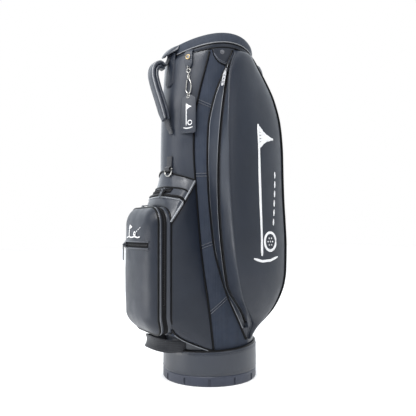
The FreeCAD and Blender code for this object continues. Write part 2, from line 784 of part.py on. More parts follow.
def ball_crown(u):
    """How far the face falls back from its crown at u = -1..1 across."""
    u = abs(u)
    edge_roll = 0.0 if u < CROWN_EDGE else 20.0 * ((u - CROWN_EDGE) / 0.17) ** 1.6
    return CROWN_DROP * min(u, CROWN_EDGE) ** 2 / 0.69 + edge_roll


def shoulder_crown(u):
    return SHOULDER_FALL * u ** 2


def ball_face():
    rows = []
    for z, half, depth in BALL_ROWS:
        row = []
        for u in (-1, -0.93, -0.83, -0.6, -0.3, 0, 0.3, 0.6, 0.83, 0.93, 1):
            n = depth - half / size("ball_half") * ball_crown(u)
            row.append((Vector(half * u, -n, z), Vector(half * u * 0.985, -(n - 4.5), z)))
        rows.append(row)
    return thick_sheet(rows)


def shoulder():
    rows = []
    for z, half, depth in SHOULDER_ROWS:
        row = []
        for u in spread(-1.0, 1.0, 11):
            n = depth - shoulder_crown(u)
            row.append((Vector(half * u, -n, z), Vector(half * u * 0.97, -(n - 3.4), z - 1.2)))
        rows.append(row)
    return thick_sheet(rows)


def front_tape(table, crown, z_mid, offsets, x_half, cols, lifts):
    """Level zipper tape over a crowned face; lifts of its outer and inner side."""
    rows = []
    for offset in offsets:
        z = z_mid + offset
        half, depth = column(table, 1, z), column(table, 2, z)
        rows.append([tuple(Vector(x, -(depth + lift - crown(x / half)), z) for lift in lifts)
                     for x in spread(-x_half, x_half, cols)])
    return thick_sheet(rows)


# outline of the box behind the face
BOX_HALF, BOX_LOW, BOX_HIGH = 88.0, 143.0, 434.0
BOX_RADIUS_LOW, BOX_RADIUS_HIGH = 46.0, 40.0


def rounded_ring(grow, y):
    """The box outline, grown outwards, in the plane Y = y."""
    half, low, high = BOX_HALF + grow, BOX_LOW - grow, BOX_HIGH + grow
    r_low, r_high = BOX_RADIUS_LOW + grow, BOX_RADIUS_HIGH + grow
    corners = [    # x and z of the centre, radius, start angle
        (half - r_high, high - r_high, r_high, 0), (-half + r_high, high - r_high, r_high, 90),
        (-half + r_low, low + r_low, r_low, 180), (half - r_low, low + r_low, r_low, 270)]
    arcs = []
    for x, z, radius, start in corners:
        angles = [math.radians(start + turn) for turn in (0, 45, 90)]
        arcs.append([Vector(x + radius * math.cos(a), y, z + radius * math.sin(a))
                     for a in angles])
    edges = []
    for i in range(4):
        edges.append(Part.Arc(*arcs[i]).toShape())
        edges.append(Part.LineSegment(arcs[i][2], arcs[(i + 1) % 4][0]).toShape())
    return Part.Wire(edges)


def box_ring(grow, y_front, y_back, wall):
    """Tube on the grown box outline, open front and back."""
    big = Part.makeLoft([rounded_ring(grow, y_front), rounded_ring(grow, y_back)], True)
    small = Part.makeLoft([rounded_ring(grow - wall, y_front - 1),
                           rounded_ring(grow - wall, y_back + 1)], True)
    return big.cut(small)


# side panel between the ball pocket's box and the stay band
SIDE_PANEL_LEVELS = (118, 140, 170, 210, 260, 310, 360, 410, 445, 480, 500)
BOX_EDGE_DEPTH = [(118, 128.0), (140, 146.0), (160, 149.0), (400, 149.0), (445, 149.0),
                  (480, 140.0), (500, 128.0)]    # height, distance in front of the axis
BOX_EDGE_X = [(118, 84.0), (140, 87.5), (170, 90.0), (400, 90.0), (445, 89.0), (480, 76.0),
              (500, 62.0)]                       # height, x
SIDE_PANEL_THICK = 2.8


def side_panel():
    """Sections are quadratic Bezier curves from the box to the stay band."""
    thick = SIDE_PANEL_THICK
    rows = []
    for z in SIDE_PANEL_LEVELS:
        end = around(size("skin_outer") + 1.4, band_front(z) - 0.7, z)
        start_n, start_x = pchip(BOX_EDGE_DEPTH, z), pchip(BOX_EDGE_X, z)
        if z < 420:
            pull_x = max(end.x, start_x - 1.0) + 1.5
        else:
            pull_x = 0.5 * (start_x + end.x) + 5.0
        pull_n = 0.5 * (start_n - end.y)
        row = []
        for u in spread(0.0, 1.0, 9):
            first, middle, last = (1 - u) ** 2, 2 * u * (1 - u), u * u
            n = first * start_n + middle * pull_n - last * end.y
            x = first * start_x + middle * pull_x + last * end.x
            row.append((Vector(x, -n, z),
                        Vector(x - thick * (1 - 0.35 * u), -(n - thick * 0.75 * u), z)))
        rows.append(row)
    return thick_sheet(rows)


feature("ball_pocket_face", ball_face())
feature("ball_pocket_gusset", box_ring(0.0, -184.0, -152.0, wall=3.0))
# dome zipper over the gusset, kept only above the box's lower corners
feature("ball_pocket_zipper", box_ring(3.0, -182.0, -168.0, wall=2.4).common(
    Part.makeBox(200, 40, 260, Vector(-100, -190, 190))))
both_sides("side_panel", side_panel())
# shoulder above the ball pocket
feature("valuables_pocket", shoulder())
feature("valuables_zipper", front_tape(
    SHOULDER_ROWS, shoulder_crown, SHOULDER_ZIP_Z, offsets=(-6.0, -2.0, 2.0, 6.0),
    x_half=54.0, cols=9, lifts=(2.4, 0.8)))
feature("ball_face_zipper", front_tape(
    BALL_ROWS, ball_crown, FACE_ZIP_Z, offsets=(-6.5, -2.0, 2.0, 6.5),
    x_half=70.0, cols=11, lifts=(2.7, 1.0)))

# ============================================================ ZIPPER SLIDERS
# In a slider's own frame Y points outwards and Z runs up the zipper.
SLIDER_OUTLINE = [(-4.2, -6), (4.2, -6), (5.2, 2.5), (3.0, 6), (-3.0, 6), (-5.2, 2.5)]    # x, z
SLIDER_THICK = 3.2
BAIL_OUTLINE = [    # y, z
    (2.8, -3.6), (5.6, -2.6), (7.2, -0.9), (7.2, 0.9), (5.6, 2.6), (2.8, 3.6)]
BAIL_THICK = 3.4
PIN_OUT = 5.2              # height of the puller's pin above the slider's back
PIN_HOLE_RADIUS, PIN_RADIUS, PIN_LENGTH = 1.28, 0.85, 7.2
PULLER_THICK = 1.8


def frame_place(position, out, up):
    """Placement whose local Y points outwards and local Z runs up the zipper."""
    z = Vector(up).normalize()
    x = Vector(out).cross(z).normalize()
    y = z.cross(x).normalize()
    return Placement(FreeCAD.Matrix(x.x, y.x, z.x, position.x, x.y, y.y, z.y, position.y,
                                    x.z, y.z, z.z, position.z, 0, 0, 0, 1))


def build_slider(label, place):
    """Die-cast slider: tapered body with a bail bored for the puller's pin."""
    body = new_body(label)
    sketch = new_sketch(body, "XZ_Plane", 0)
    draw_poly(sketch, SLIDER_OUTLINE)
    pad(body, sketch, SLIDER_THICK, reverse=True)
    sketch = new_sketch(body, "YZ_Plane")
    draw_poly(sketch, BAIL_OUTLINE)
    draw_circle(sketch, PIN_OUT, 0, PIN_HOLE_RADIUS)
    pad(body, sketch, BAIL_THICK, mid=True)
    body.Placement = place
    doc.recompute()


def build_puller(label, place, length, width, slots):
    """Flat puller with two ears and a cross pin through the slider's bail."""
    body = new_body(label)
    half = width / 2.0
    sketch = new_sketch(body, "XZ_Plane", 0)
    draw_poly(sketch, [
        (-3.7, 1.1), (-2.2, 1.1), (-2.2, -7.4), (2.2, -7.4), (2.2, 1.1), (3.7, 1.1),
        (3.7, -6.4), (half, -10.5), (half, -length + 4), (half - 3, -length),
        (-half + 3, -length), (-half, -length + 4), (-half, -10.5), (-3.7, -6.4)])
    pad(body, sketch, PULLER_THICK, mid=True)
    sketch = new_sketch(body, "YZ_Plane")
    draw_circle(sketch, 0, 0, PIN_RADIUS)
    pad(body, sketch, PIN_LENGTH, mid=True)
    border = 2.6
    pitch = (length - 17.0) / slots
    sketch = new_sketch(body, "XZ_Plane", 0)
    for k in range(slots):
        top = -13.5 - k * pitch
        draw_rect(sketch, -half + border, top - pitch + border, half - border, top)
    cut(body, sketch)
    body.Placement = place
    doc.recompute()


def add_zip(name, position, out, up, length, width=8.0, slots=1):
    place = frame_place(position, out, up)
    build_slider(name + "_slider", place)
    pin_place = place.multiply(Placement(Vector(0, PIN_OUT, 0), Rotation()))
    build_puller(name + "_puller", pin_place, length, width, slots)


# side pocket zippers, all at one height
SLIDER_Z = 772.0
OUT_N, OUT_T = -0.287, 0.958    # unit normal of the tape for sign 1


def add_side_zip(name, sign, hand):
    """Slider on a side pocket; hand 1 is the right side, -1 the left."""
    n, t = zip_mid(SLIDER_Z, sign)
    n_above, t_above = zip_mid(SLIDER_Z + 0.5, sign)
    n_below, t_below = zip_mid(SLIDER_Z - 0.5, sign)
    pose = [side(n + OUT_N, t + sign * (TAPE_LIFT[0] + OUT_T), SLIDER_Z),
            side(OUT_N, sign * OUT_T, 0),
            side(n_above, t_above, SLIDER_Z + 0.5) - side(n_below, t_below, SLIDER_Z - 0.5)]
    add_zip(name, *[Vector(hand * v.x, v.y, v.z) for v in pose],
            length=43.0, width=13.0, slots=3)


def add_crown_zip(name, depth, radius, x, z, lift, slope, length):
    """Slider standing off a crowned face, taken as an arc about an upright axis."""
    angle = math.asin(x / radius)
    sine, cosine = math.sin(angle), math.cos(angle)
    reach = radius + lift
    add_zip(name, Vector(reach * sine, radius - depth - reach * cosine, z),
            Vector(sine, -cosine, slope), Vector(-slope * sine, slope * cosine, 1), length)


for hand_name, hand in (("right", 1), ("left", -1)):
    add_side_zip("front_zip_" + hand_name, -1, hand)
    add_side_zip("rear_zip_" + hand_name, 1, hand)

# ball pocket: on the dome zipper's flat top, puller lying along it
add_zip("dome_zip", Vector(-40, -175, 437.4), Vector(0, 0, 1), Vector(-1, 0, 0), length=30.0)
add_crown_zip(
    "face_zip", depth=column(BALL_ROWS, 2, FACE_ZIP_Z),
    radius=(column(BALL_ROWS, 1, FACE_ZIP_Z) * CROWN_EDGE) ** 2 / (2 * CROWN_DROP),
    x=-45.0, z=FACE_ZIP_Z, lift=3.5, slope=0.0, length=40.0)
add_crown_zip(
    "valuables_zip", depth=column(SHOULDER_ROWS, 2, SHOULDER_ZIP_Z),
    radius=column(SHOULDER_ROWS, 1, SHOULDER_ZIP_Z) ** 2 / (2 * SHOULDER_FALL),
    x=30.0, z=SHOULDER_ZIP_Z + 1.0, lift=5.4, slope=0.52, length=26.0)

# ============================================================== CARRY HANDLE
HANDLE_PATH = [
    (0, -136, 799), (0, -150, 803), (1, -162, 794), (4, -166.5, 774), (10, -162, 744),
    (18, -153.5, 708), (25, -147, 677), (30, -144, 657)]
HANDLE_HALF_WIDTH, HANDLE_HALF_DEPTH = 15.0, 10.5
ANCHOR_WIDTH, ANCHOR_DEPTH = 30, 9.0
LOW_TURN = 12.0    # angle of the lower anchor and the D-ring from the front
ANCHORS = [        # bottom, top, distance of the back face, turn about the axis
    (811.5, 825.5, 121.8, 0.0), (628.0, 651.0, 134.6, LOW_TURN)]


def carry_handle():
    """Padded bow between two anchors on the front panel."""
    start = Vector(*HANDLE_PATH[0])
    curve = Part.BSplineCurve()
    curve.interpolate([Vector(*point) for point in HANDLE_PATH])
    spine = Part.Wire(curve.toShape())
    tangent = curve.tangent(curve.FirstParameter)[0]
    section = Part.Ellipse(Vector(0, 0, 0), HANDLE_HALF_WIDTH, HANDLE_HALF_DEPTH).toShape()
    section.Placement = Placement(start, Rotation(Vector(0, 0, 1), tangent))
    section = Part.Wire(section)
    # makes sure that the section's long axis lies across the bag
    if abs(section.BoundBox.XLength - 2 * HANDLE_HALF_WIDTH) > 1.0:
        section.rotate(start, tangent, 90.0)
    return spine.makePipeShell([section], True, True)


def handle_anchors():
    anchors = []
    for low, high, depth, turn in ANCHORS:
        block = Part.makeBox(ANCHOR_WIDTH, ANCHOR_DEPTH, high - low,
                             Vector(-ANCHOR_WIDTH / 2, -(depth + ANCHOR_DEPTH), low))
        block = block.makeFillet(2.0, [edge for edge in block.Edges
                                       if abs(edge.tangentAt(edge.FirstParameter).z) > 0.9])
        block.rotate(Vector(0, 0, 0), Vector(0, 0, 1), turn)
        anchors.append(block)
    return Part.makeCompound(anchors)


feature("carry_handle", carry_handle())
feature("handle_anchors", handle_anchors())

# ================================================================ FRONT D-RING
TAB_SECTION = [    # y, z
    (-137.2, 560), (-140.4, 560), (-141.2, 539.6), (-146.3, 536.8), (-147.4, 533.0),
    (-145.6, 529.6), (-141.8, 528.4), (-138.2, 530.6), (-137.2, 536)]
TAB_HOLE_Y, TAB_HOLE_Z = -142.4, 533.4
TAB_SHIFT = 2.4    # the tab is moved back by this
RING_WIRE, RING_HALF, RING_LEG = 1.9, 14.0, 4
RING_TURN = Placement(Vector(0, 0, 0), Rotation(Vector(0, 0, 1), LOW_TURN))

d_ring_tab = new_body("d_ring_tab")
outline = new_sketch(d_ring_tab, "YZ_Plane")
draw_poly(outline, TAB_SECTION)
draw_circle(outline, TAB_HOLE_Y, TAB_HOLE_Z, 2.0)
pad(d_ring_tab, outline, 20, mid=True)
d_ring_tab.Placement = RING_TURN.multiply(Placement(Vector(0, TAB_SHIFT, 0), Rotation()))


def d_ring():
    bar = Part.makeCylinder(RING_WIRE, 2 * RING_HALF, Vector(-RING_HALF, 0, 0), Vector(1, 0, 0))
    bow = Part.makeTorus(RING_HALF, RING_WIRE, Vector(0, 0, -RING_LEG), Vector(0, 1, 0))
    bow = bow.common(Part.makeBox(60, 10, 40, Vector(-30, -5, -40 - RING_LEG)))
    legs = [Part.makeCylinder(RING_WIRE, RING_LEG, Vector(x, 0, -RING_LEG), Vector(0, 0, 1))
            for x in (-RING_HALF, RING_HALF)]
    tips = [Part.makeSphere(RING_WIRE, Vector(x, 0, 0)) for x in (-RING_HALF, RING_HALF)]
    return bar.fuse([bow] + legs + tips).removeSplitter()


feature("d_ring", d_ring(), RING_TURN.multiply(
    Placement(Vector(0, TAB_HOLE_Y + TAB_SHIFT, TAB_HOLE_Z), Rotation())))

# ======================================================= NAME TAG AND ITS HOOK
# in the tag's frame -Y is outwards and X runs round the bag
TAG_PLACE = Placement(Vector(0, 0, 0), Rotation(Vector(0, 0, 1), size("tag_angle")))
HANG_Y = -124.25           # middle plane of the strap, hook and tag
STRAP_THICK = 2.5
STUD_Y = -125.8            # back of the stud
TAG_TOP = 717.2
LINK_RADIUS, LINK_WIRE = 5.0, 1.0
HOOK_WIRE = 1.8
HOOK_PATH = [    # x, z
    (0, 758), (4.6, 752), (7.0, 744), (7.0, 732), (4.6, 723.6), (0, 720), (-4.6, 723.6),
    (-6.6, 730.5)]


def hanging_plate(label, outline, hole, thick, y):
    """Plate padded outwards from y: outline in x and z, hole as x, z, radius."""
    body = new_body(label)
    sketch = new_sketch(body, "XZ_Plane", 0)
    if outline:
        draw_poly(sketch, outline)
    draw_circle(sketch, *hole)
    pad(body, sketch, thick)
    body.Placement = TAG_PLACE.multiply(Placement(Vector(0, y, 0), Rotation()))


def link(z, axis):
    return Part.makeTorus(LINK_RADIUS, LINK_WIRE, Vector(0, HANG_Y, z), axis)


def snap_hook():
    """Eye, swivel barrel and open bow."""
    up = Vector(0, 0, 1)
    eye = link(778.0, Vector(0, 1, 0))
    neck = Part.makeCylinder(1.5, 8.6, Vector(0, HANG_Y, 764.4), up)
    barrel = Part.makeCylinder(3.6, 9.0, Vector(0, HANG_Y, 757.0), up)
    points = [Vector(x, 0, z) for x, z in HOOK_PATH]
    curve = Part.BSplineCurve()
    curve.interpolate(points)
    tangent = curve.tangent(curve.FirstParameter)[0]
    section = Part.Wire(Part.makeCircle(HOOK_WIRE, points[0], tangent))
    bow = Part.Wire(curve.toShape()).makePipeShell([section], True, True)
    bow.translate(Vector(0, HANG_Y, 0))
    return eye.fuse([neck, barrel, bow]).removeSplitter()


hanging_plate("badge_strap",
              [(-11, 826), (11, 826), (11, 796), (6, 786.5), (-6, 786.5), (-11, 796)],
              hole=(0, 790.6, 2.4), thick=STRAP_THICK, y=HANG_Y + STRAP_THICK / 2)
# the stud is a plain disc, so its circle is the outline itself
hanging_plate("badge_stud", None, hole=(0, 812, 6.4), thick=2.0, y=STUD_Y)
feature("tag_ring", link(785.6, Vector(1, 0, 0)), TAG_PLACE)
feature("snap_hook", snap_hook(), TAG_PLACE)
# sprung gate that closes the hook's bow
feature("hook_gate", Part.makeCylinder(1.5, 22.0, Vector(-6.7, HANG_Y, 733.2),
                                       Vector(0.115, 0, 0.993)), TAG_PLACE)
feature("tag_link", link(718.2, Vector(1, 0, 0)), TAG_PLACE)

tag_half = dims["tag_width"] / 2
tag_low = TAG_TOP - dims["tag_length"]
hanging_plate("name_tag", [
    (-tag_half + 4, tag_low), (tag_half - 4, tag_low), (tag_half, tag_low + 4),
    (tag_half, TAG_TOP - 12), (6, TAG_TOP), (-6, TAG_TOP),
    (-tag_half, TAG_TOP - 12), (-tag_half, tag_low + 4)],
    hole=(0, TAG_TOP - 4.4, 2.6), thick=dims["tag_thick"], y=HANG_Y + size("tag_thick") / 2)

# =========================================================== RAIN HOOD SNAPS
SNAPS = [(76, 826.0), (-76, 826.0), (152, 822.0), (-152, 822.0)]    # angle, height
SNAP_THICK = 1.6


def hood_snap(psi, z):
    base = around(size("skin_outer") + 1.0, psi, z)
    axis = around(1.0, psi, 0)
    disc = Part.makeCylinder(size("snap_radius"), SNAP_THICK, base, axis)
    return disc.fuse(Part.makeCone(3.4, 2.6, 2.0, base + axis * SNAP_THICK, axis))


feature("hood_snaps", Part.makeCompound([hood_snap(psi, z) for psi, z in SNAPS]))

# ========================================================== LOWER GRAB STRAP
STRAP_HALF_SPAN = 86.0
STRAP_END_DEPTH, STRAP_BULGE = 97.0, 85.0    # distance in front at the ends, more at the middle
STRAP_END_Z, STRAP_RISE = 66.0, 24.0         # lower edge at the ends, rise at the middle


def grab_strap():
    width = size("webbing_width") - 5.0
    rows = []
    for q in spread(0.0, 1.0, 5):
        row = []
        for u in spread(-1.0, 1.0, 17):
            bow = 1 - abs(u) ** 2.4
            x = STRAP_HALF_SPAN * math.sin(math.radians(90.0 * u))
            n = STRAP_END_DEPTH + STRAP_BULGE * bow + 3.0 * (1 - q)
            z = STRAP_END_Z + width * q * (1 - 0.22 * bow) + STRAP_RISE * bow
            row.append((Vector(x, -n - size("webbing_thick"), z), Vector(x * 0.975, -n, z)))
        rows.append(row)
    return thick_sheet(rows)


feature("grab_strap", grab_strap())

doc.recompute()

# ------------------------------------------------------------------ export
os.makedirs("parts", exist_ok=True)
problems = []
for item in doc.Objects:
    state = [str(word) for word in item.State]
    if "Invalid" in state or "Error" in state:
        problems.append("%s state %s" % (item.Label, state))
for item in parts:
    if item.Shape.isNull() or not item.Shape.isValid() or not item.Shape.Solids:
        problems.append("%s shape invalid" % item.Label)
if problems:
    raise RuntimeError("; ".join(problems))
labels = [item.Label for item in parts]
assert len(labels) == len(set(labels)), "labels repeat"
for item in parts:
    item.Shape.exportStep("parts/%s.step" % item.Label)
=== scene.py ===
"""A golf bag standing upright on the floor, its tube along +Z.

The front, with the ball pocket and the handle, faces -Y, the spine faces +Y, and an
apparel pocket sits on each side, the right one at +X. Lengths are in millimetres and
become metres in new_mesh. Angles go round the tube in degrees, from the front (-Y)
towards +X.
"""
import json
import math

import bmesh
import bpy
import numpy as np
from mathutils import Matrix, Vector, noise
from numpy import linspace

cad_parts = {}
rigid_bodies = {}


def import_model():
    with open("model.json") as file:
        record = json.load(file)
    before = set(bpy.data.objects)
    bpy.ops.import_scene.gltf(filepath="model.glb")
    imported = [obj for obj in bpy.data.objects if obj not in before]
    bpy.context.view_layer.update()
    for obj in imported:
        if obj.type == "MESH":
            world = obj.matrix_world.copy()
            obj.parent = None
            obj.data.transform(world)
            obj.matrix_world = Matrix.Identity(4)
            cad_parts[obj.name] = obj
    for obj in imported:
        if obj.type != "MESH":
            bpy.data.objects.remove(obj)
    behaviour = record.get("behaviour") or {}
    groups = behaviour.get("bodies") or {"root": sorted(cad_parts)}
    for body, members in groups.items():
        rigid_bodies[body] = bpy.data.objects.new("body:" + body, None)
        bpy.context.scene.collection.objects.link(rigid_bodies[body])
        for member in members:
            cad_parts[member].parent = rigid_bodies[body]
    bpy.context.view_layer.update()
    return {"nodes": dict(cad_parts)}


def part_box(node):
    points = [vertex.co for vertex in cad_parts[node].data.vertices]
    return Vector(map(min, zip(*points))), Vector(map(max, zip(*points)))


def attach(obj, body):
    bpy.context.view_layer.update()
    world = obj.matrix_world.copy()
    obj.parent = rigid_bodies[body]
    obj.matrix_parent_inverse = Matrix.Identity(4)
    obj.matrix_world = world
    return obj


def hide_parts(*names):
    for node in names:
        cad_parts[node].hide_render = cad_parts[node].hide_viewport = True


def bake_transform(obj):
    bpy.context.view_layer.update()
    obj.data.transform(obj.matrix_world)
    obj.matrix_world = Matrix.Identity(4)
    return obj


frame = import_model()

rad = math.radians


# ------------------------------------------------------------------ numbers
def curve_at(table, x, column=1):
    """Monotone cubic through one column of a table whose column 0 is x; held at its ends."""
    xs = [row[0] for row in table]
    ys = [row[column] for row in table]
    if x <= xs[0]:
        return ys[0]
    if x >= xs[-1]:
        return ys[-1]
    gaps = [b - a for a, b in zip(xs, xs[1:])]
    rises = [(b - a) / gap for a, b, gap in zip(ys, ys[1:], gaps)]
    slopes = [0.0] * len(xs)
    slopes[0], slopes[-1] = rises[0], rises[-1]
    for i in range(1, len(xs) - 1):
        if rises[i - 1] * rises[i] > 0:
            w1 = 2 * gaps[i] + gaps[i - 1]
            w2 = gaps[i] + 2 * gaps[i - 1]
            slopes[i] = (w1 + w2) / (w1 / rises[i - 1] + w2 / rises[i])
    k = 0
    while x > xs[k + 1]:
        k += 1
    u = (x - xs[k]) / gaps[k]
    return ((1 + 2 * u) * (1 - u) ** 2 * ys[k] + u * (1 - u) ** 2 * gaps[k] * slopes[k]
            + u * u * (3 - 2 * u) * ys[k + 1] + u * u * (u - 1) * gaps[k] * slopes[k + 1])


def around(radius, angle, z):
    """Point at a radius and angle round the tube's axis."""
    a = rad(angle)
    return np.array([radius * math.sin(a), -radius * math.cos(a), z])


def tangent(angle):
    """Level direction along the tube's surface, towards growing angles."""
    return np.array([math.cos(rad(angle)), math.sin(rad(angle)), 0])


def turn(steps):
    """Angles of one full turn, without the closing one."""
    return linspace(0, 360.0, steps + 1)[:-1]


def unit(v):
    v = np.asarray(v, float)
    return v / (np.linalg.norm(v) + 1e-12)


def smooth(a, b, x):
    """0 at a, 1 at b, eased between."""
    t = min(1.0, max(0.0, (x - a) / (b - a)))
    return t * t * (3 - 2 * t)


def shade(colour, factor):
    return tuple(min(1.0, x * factor) for x in colour)


# ------------------------------------------------------------------ materials
class Mat:
    """A material with a Principled shader, textured in object space (metres)."""

    def __init__(self, name):
        self.material = bpy.data.materials.new(name)
        self.material.use_nodes = True
        self.tree = self.material.node_tree
        self.shader = self.tree.nodes["Principled BSDF"]
        self.position = self.node("ShaderNodeTexCoord").outputs["Object"]

    def node(self, kind, **settings):
        n = self.tree.nodes.new(kind)
        for key, value in settings.items():
            if key in n.inputs:
                n.inputs[key].default_value = value
            else:
                setattr(n, key, value)
        return n

    def link(self, a, b):
        self.tree.links.new(a, b)

    def noise(self, scale, detail=3.0):
        n = self.node("ShaderNodeTexNoise", Scale=scale, Detail=detail, Roughness=0.55)
        self.link(self.position, n.inputs["Vector"])
        return n.outputs["Fac"]

    def cells(self, scale):
        n = self.node("ShaderNodeTexVoronoi", Scale=scale)
        self.link(self.position, n.inputs["Vector"])
        return n.outputs["Distance"]

    def wave(self, scale, direction, distortion):
        n = self.node("ShaderNodeTexWave", bands_direction=direction,
                      Scale=scale, Distortion=distortion)
        self.link(self.position, n.inputs["Vector"])
        return n.outputs["Fac"]

    def math(self, operation, *values):
        n = self.node("ShaderNodeMath", operation=operation)
        for slot, value in zip(n.inputs, values):
            if isinstance(value, float):
                slot.default_value = value
            else:
                self.link(value, slot)
        return n.outputs[0]

    def spread(self, fac, middle, down, up):
        """Map the useful part of a noise to middle - down .. middle + up."""
        n = self.node("ShaderNodeMapRange")
        self.link(fac, n.inputs["Value"])
        n.inputs["From Min"].default_value = 0.25
        n.inputs["From Max"].default_value = 0.75
        n.inputs["To Min"].default_value = middle - down
        n.inputs["To Max"].default_value = middle + up
        return n.outputs[0]

    def ramp(self, fac, low, high):
        n = self.node("ShaderNodeValToRGB")
        for stop, place, colour in zip(n.color_ramp.elements, (0.3, 0.7), (low, high)):
            stop.position = place
            stop.color = (*colour, 1)
        self.link(fac, n.inputs["Fac"])
        return n.outputs["Color"]

    def bump(self, height, strength, distance, below=None):
        n = self.node("ShaderNodeBump", Strength=strength, Distance=distance)
        self.link(height, n.inputs["Height"])
        if below is not None:
            self.link(below, n.inputs["Normal"])
        return n.outputs["Normal"]

    def put(self, name, value):
        """Set a shader input to a number or an RGB colour, or link a socket to it."""
        if isinstance(value, (int, float)):
            self.shader.inputs[name].default_value = value
        elif isinstance(value, tuple):
            self.shader.inputs[name].default_value = (*value, 1)
        else:
            self.link(value, self.shader.inputs[name])


def leather(name, colour, rough, grain=1.0, coat=0.12, specular=0.55):
    m = Mat(name)
    blotches = m.noise(scale=9.0, detail=4.0)
    fine = m.noise(scale=240.0)
    pores = m.cells(scale=620.0)
    m.put("Base Color", m.ramp(blotches, shade(colour, 0.86), shade(colour, 1.16)))
    m.put("Roughness", m.spread(m.noise(scale=34.0), rough, down=0.06, up=0.07))
    m.put("Coat Weight", coat)
    m.put("Coat Roughness", 0.3)
    m.put("Specular IOR Level", specular)
    relief = m.bump(pores, strength=0.22 * grain, distance=0.0006)
    relief = m.bump(fine, strength=0.16 * grain, distance=0.0008, below=relief)
    dents = m.noise(scale=46.0, detail=2.0)
    m.put("Normal", m.bump(dents, strength=0.10, distance=0.003, below=relief))
    return m.material


def cloth(name, colour, pitch, rough, sheen, specular=0.5):
    """Woven cloth; pitch is the weave's spacing in mm."""
    m = Mat(name)
    scale = 1000.0 / pitch / 6.2832
    rows, across, deep = (m.wave(scale, axis, distortion=0.3) for axis in "ZXY")
    weave = m.math("MULTIPLY", rows, m.math("MAXIMUM", across, deep))
    tint = m.math("ADD", m.math("MULTIPLY", weave, 0.5),
                  m.math("MULTIPLY", m.noise(scale=26.0, detail=4.0), 0.5))
    m.put("Base Color", m.ramp(tint, shade(colour, 0.72), shade(colour, 1.28)))
    m.put("Roughness", m.spread(m.noise(scale=60.0), rough, down=0.06, up=0.06))
    m.put("Sheen Weight", sheen)
    m.put("Sheen Roughness", 0.45)
    m.put("Specular IOR Level", specular)
    fuzz = m.noise(scale=180.0, detail=2.0)
    relief = m.bump(weave, strength=0.45, distance=0.0005)
    m.put("Normal", m.bump(fuzz, strength=0.2, distance=0.0008, below=relief))
    return m.material


def plastic(name, colour, rough, grain):
    m = Mat(name)
    m.put("Base Color", m.ramp(m.noise(scale=14.0), shade(colour, 0.88), shade(colour, 1.12)))
    m.put("Roughness", m.spread(m.noise(scale=50.0), rough, down=0.07, up=0.07))
    m.put("Normal", m.bump(m.cells(scale=900.0), strength=grain, distance=0.0004))
    return m.material


def metal(name, colour, rough):
    m = Mat(name)
    m.put("Metallic", 1.0)
    stains = m.noise(scale=60.0, detail=4.0)
    m.put("Base Color", m.ramp(stains, shade(colour, 0.8), shade(colour, 1.08)))
    m.put("Roughness", m.spread(m.noise(scale=220.0), rough, down=0.08, up=0.12))
    m.put("Normal", m.bump(m.noise(scale=420.0), strength=0.25, distance=0.0003))
    return m.material


def thread(name, colour, scale):
    m = Mat(name)
    twist = m.wave(scale, "DIAGONAL", distortion=1.2)
    m.put("Base Color", m.ramp(twist, shade(colour, 0.72), shade(colour, 1.08)))
    m.put("Roughness", 0.55)
    m.put("Sheen Weight", 0.3)
    m.put("Normal", m.bump(twist, strength=0.5, distance=0.0005))
    return m.material


LEATHER = leather("leather_grained", (0.021, 0.026, 0.038), rough=0.36)
# darker, less glossy copy of the grained leather; its darker colour is painted shade for panels
# that face the dim side of the room
SHADED_LEATHER = leather("leather_face", (0.010, 0.014, 0.024), rough=0.40, coat=0.0, specular=0.42)
GLOSS = leather("leather_gloss_piping", (0.0015, 0.0015, 0.002),
                rough=0.42, grain=0.3, coat=0.0, specular=0.18)
# glossy cord in light grey: its light colour is a painted highlight on black piping
PAINTED_HIGHLIGHT = leather("leather_wet_piping", (0.16, 0.17, 0.19), rough=0.16, grain=0.3, coat=0.8)
BAND_CLOTH = cloth("band_cloth", (0.015, 0.023, 0.042), pitch=1.3, rough=0.8, sheen=0.0)
RIM_CLOTH = cloth("rim_cloth", (0.022, 0.030, 0.048), pitch=1.2, rough=0.7, sheen=0.05)
RIDGE = thread("seam_ridge", (0.075, 0.085, 0.11), scale=500.0)
LINING = cloth("lining_cloth", (0.022, 0.022, 0.026), pitch=1.0, rough=0.9, sheen=0.2)
WEBBING = cloth("webbing_black", (0.017, 0.019, 0.025), pitch=2.2, rough=0.62, sheen=0.2)
TAPE = cloth("zip_tape", (0.005, 0.005, 0.006), pitch=0.8, rough=0.85, sheen=0.0, specular=0.2)
TEETH = plastic("zip_teeth", (0.010, 0.010, 0.012), rough=0.4, grain=0.05)
FOOT = plastic("foot_plastic", (0.028, 0.034, 0.055), rough=0.46, grain=0.35)
RIM_PLASTIC = plastic("rim_plastic", (0.028, 0.031, 0.038), rough=0.5, grain=0.3)
NICKEL = metal("nickel_bright", (0.50, 0.49, 0.47), rough=0.2)
GUNMETAL = metal("gunmetal", (0.16, 0.165, 0.18), rough=0.34)
PULLER = plastic("puller_light", (0.55, 0.55, 0.57), rough=0.38, grain=0.1)
# light grey piping; round the rim it is a painted highlight on the seam
GREY = leather("piping_grey", (0.20, 0.205, 0.22), rough=0.35, grain=0.4)
MOTIF = thread("embroidery_white", (0.86, 0.86, 0.87), scale=260.0)
STITCH = thread("stitch_dark", (0.035, 0.038, 0.05), scale=500.0)
GOLD = metal("badge_gold", (0.75, 0.55, 0.25), rough=0.3)
BOARD = plastic("tube_board", (0.05, 0.05, 0.055), rough=0.7, grain=0.2)


# ------------------------------------------------------------------ meshes
def new_mesh(name, verts, faces, mat, smooth_shade=True):
    mesh = bpy.data.meshes.new(name)
    mesh.from_pydata([tuple(map(float, v)) for v in np.asarray(verts) * 0.001], [], faces)
    mesh.validate()
    if smooth_shade:
        mesh.polygons.foreach_set("use_smooth", [True] * len(mesh.polygons))
    mesh.materials.append(mat)
    mesh.update()
    piece = bpy.data.objects.new(name, mesh)
    bpy.context.scene.collection.objects.link(piece)
    return piece


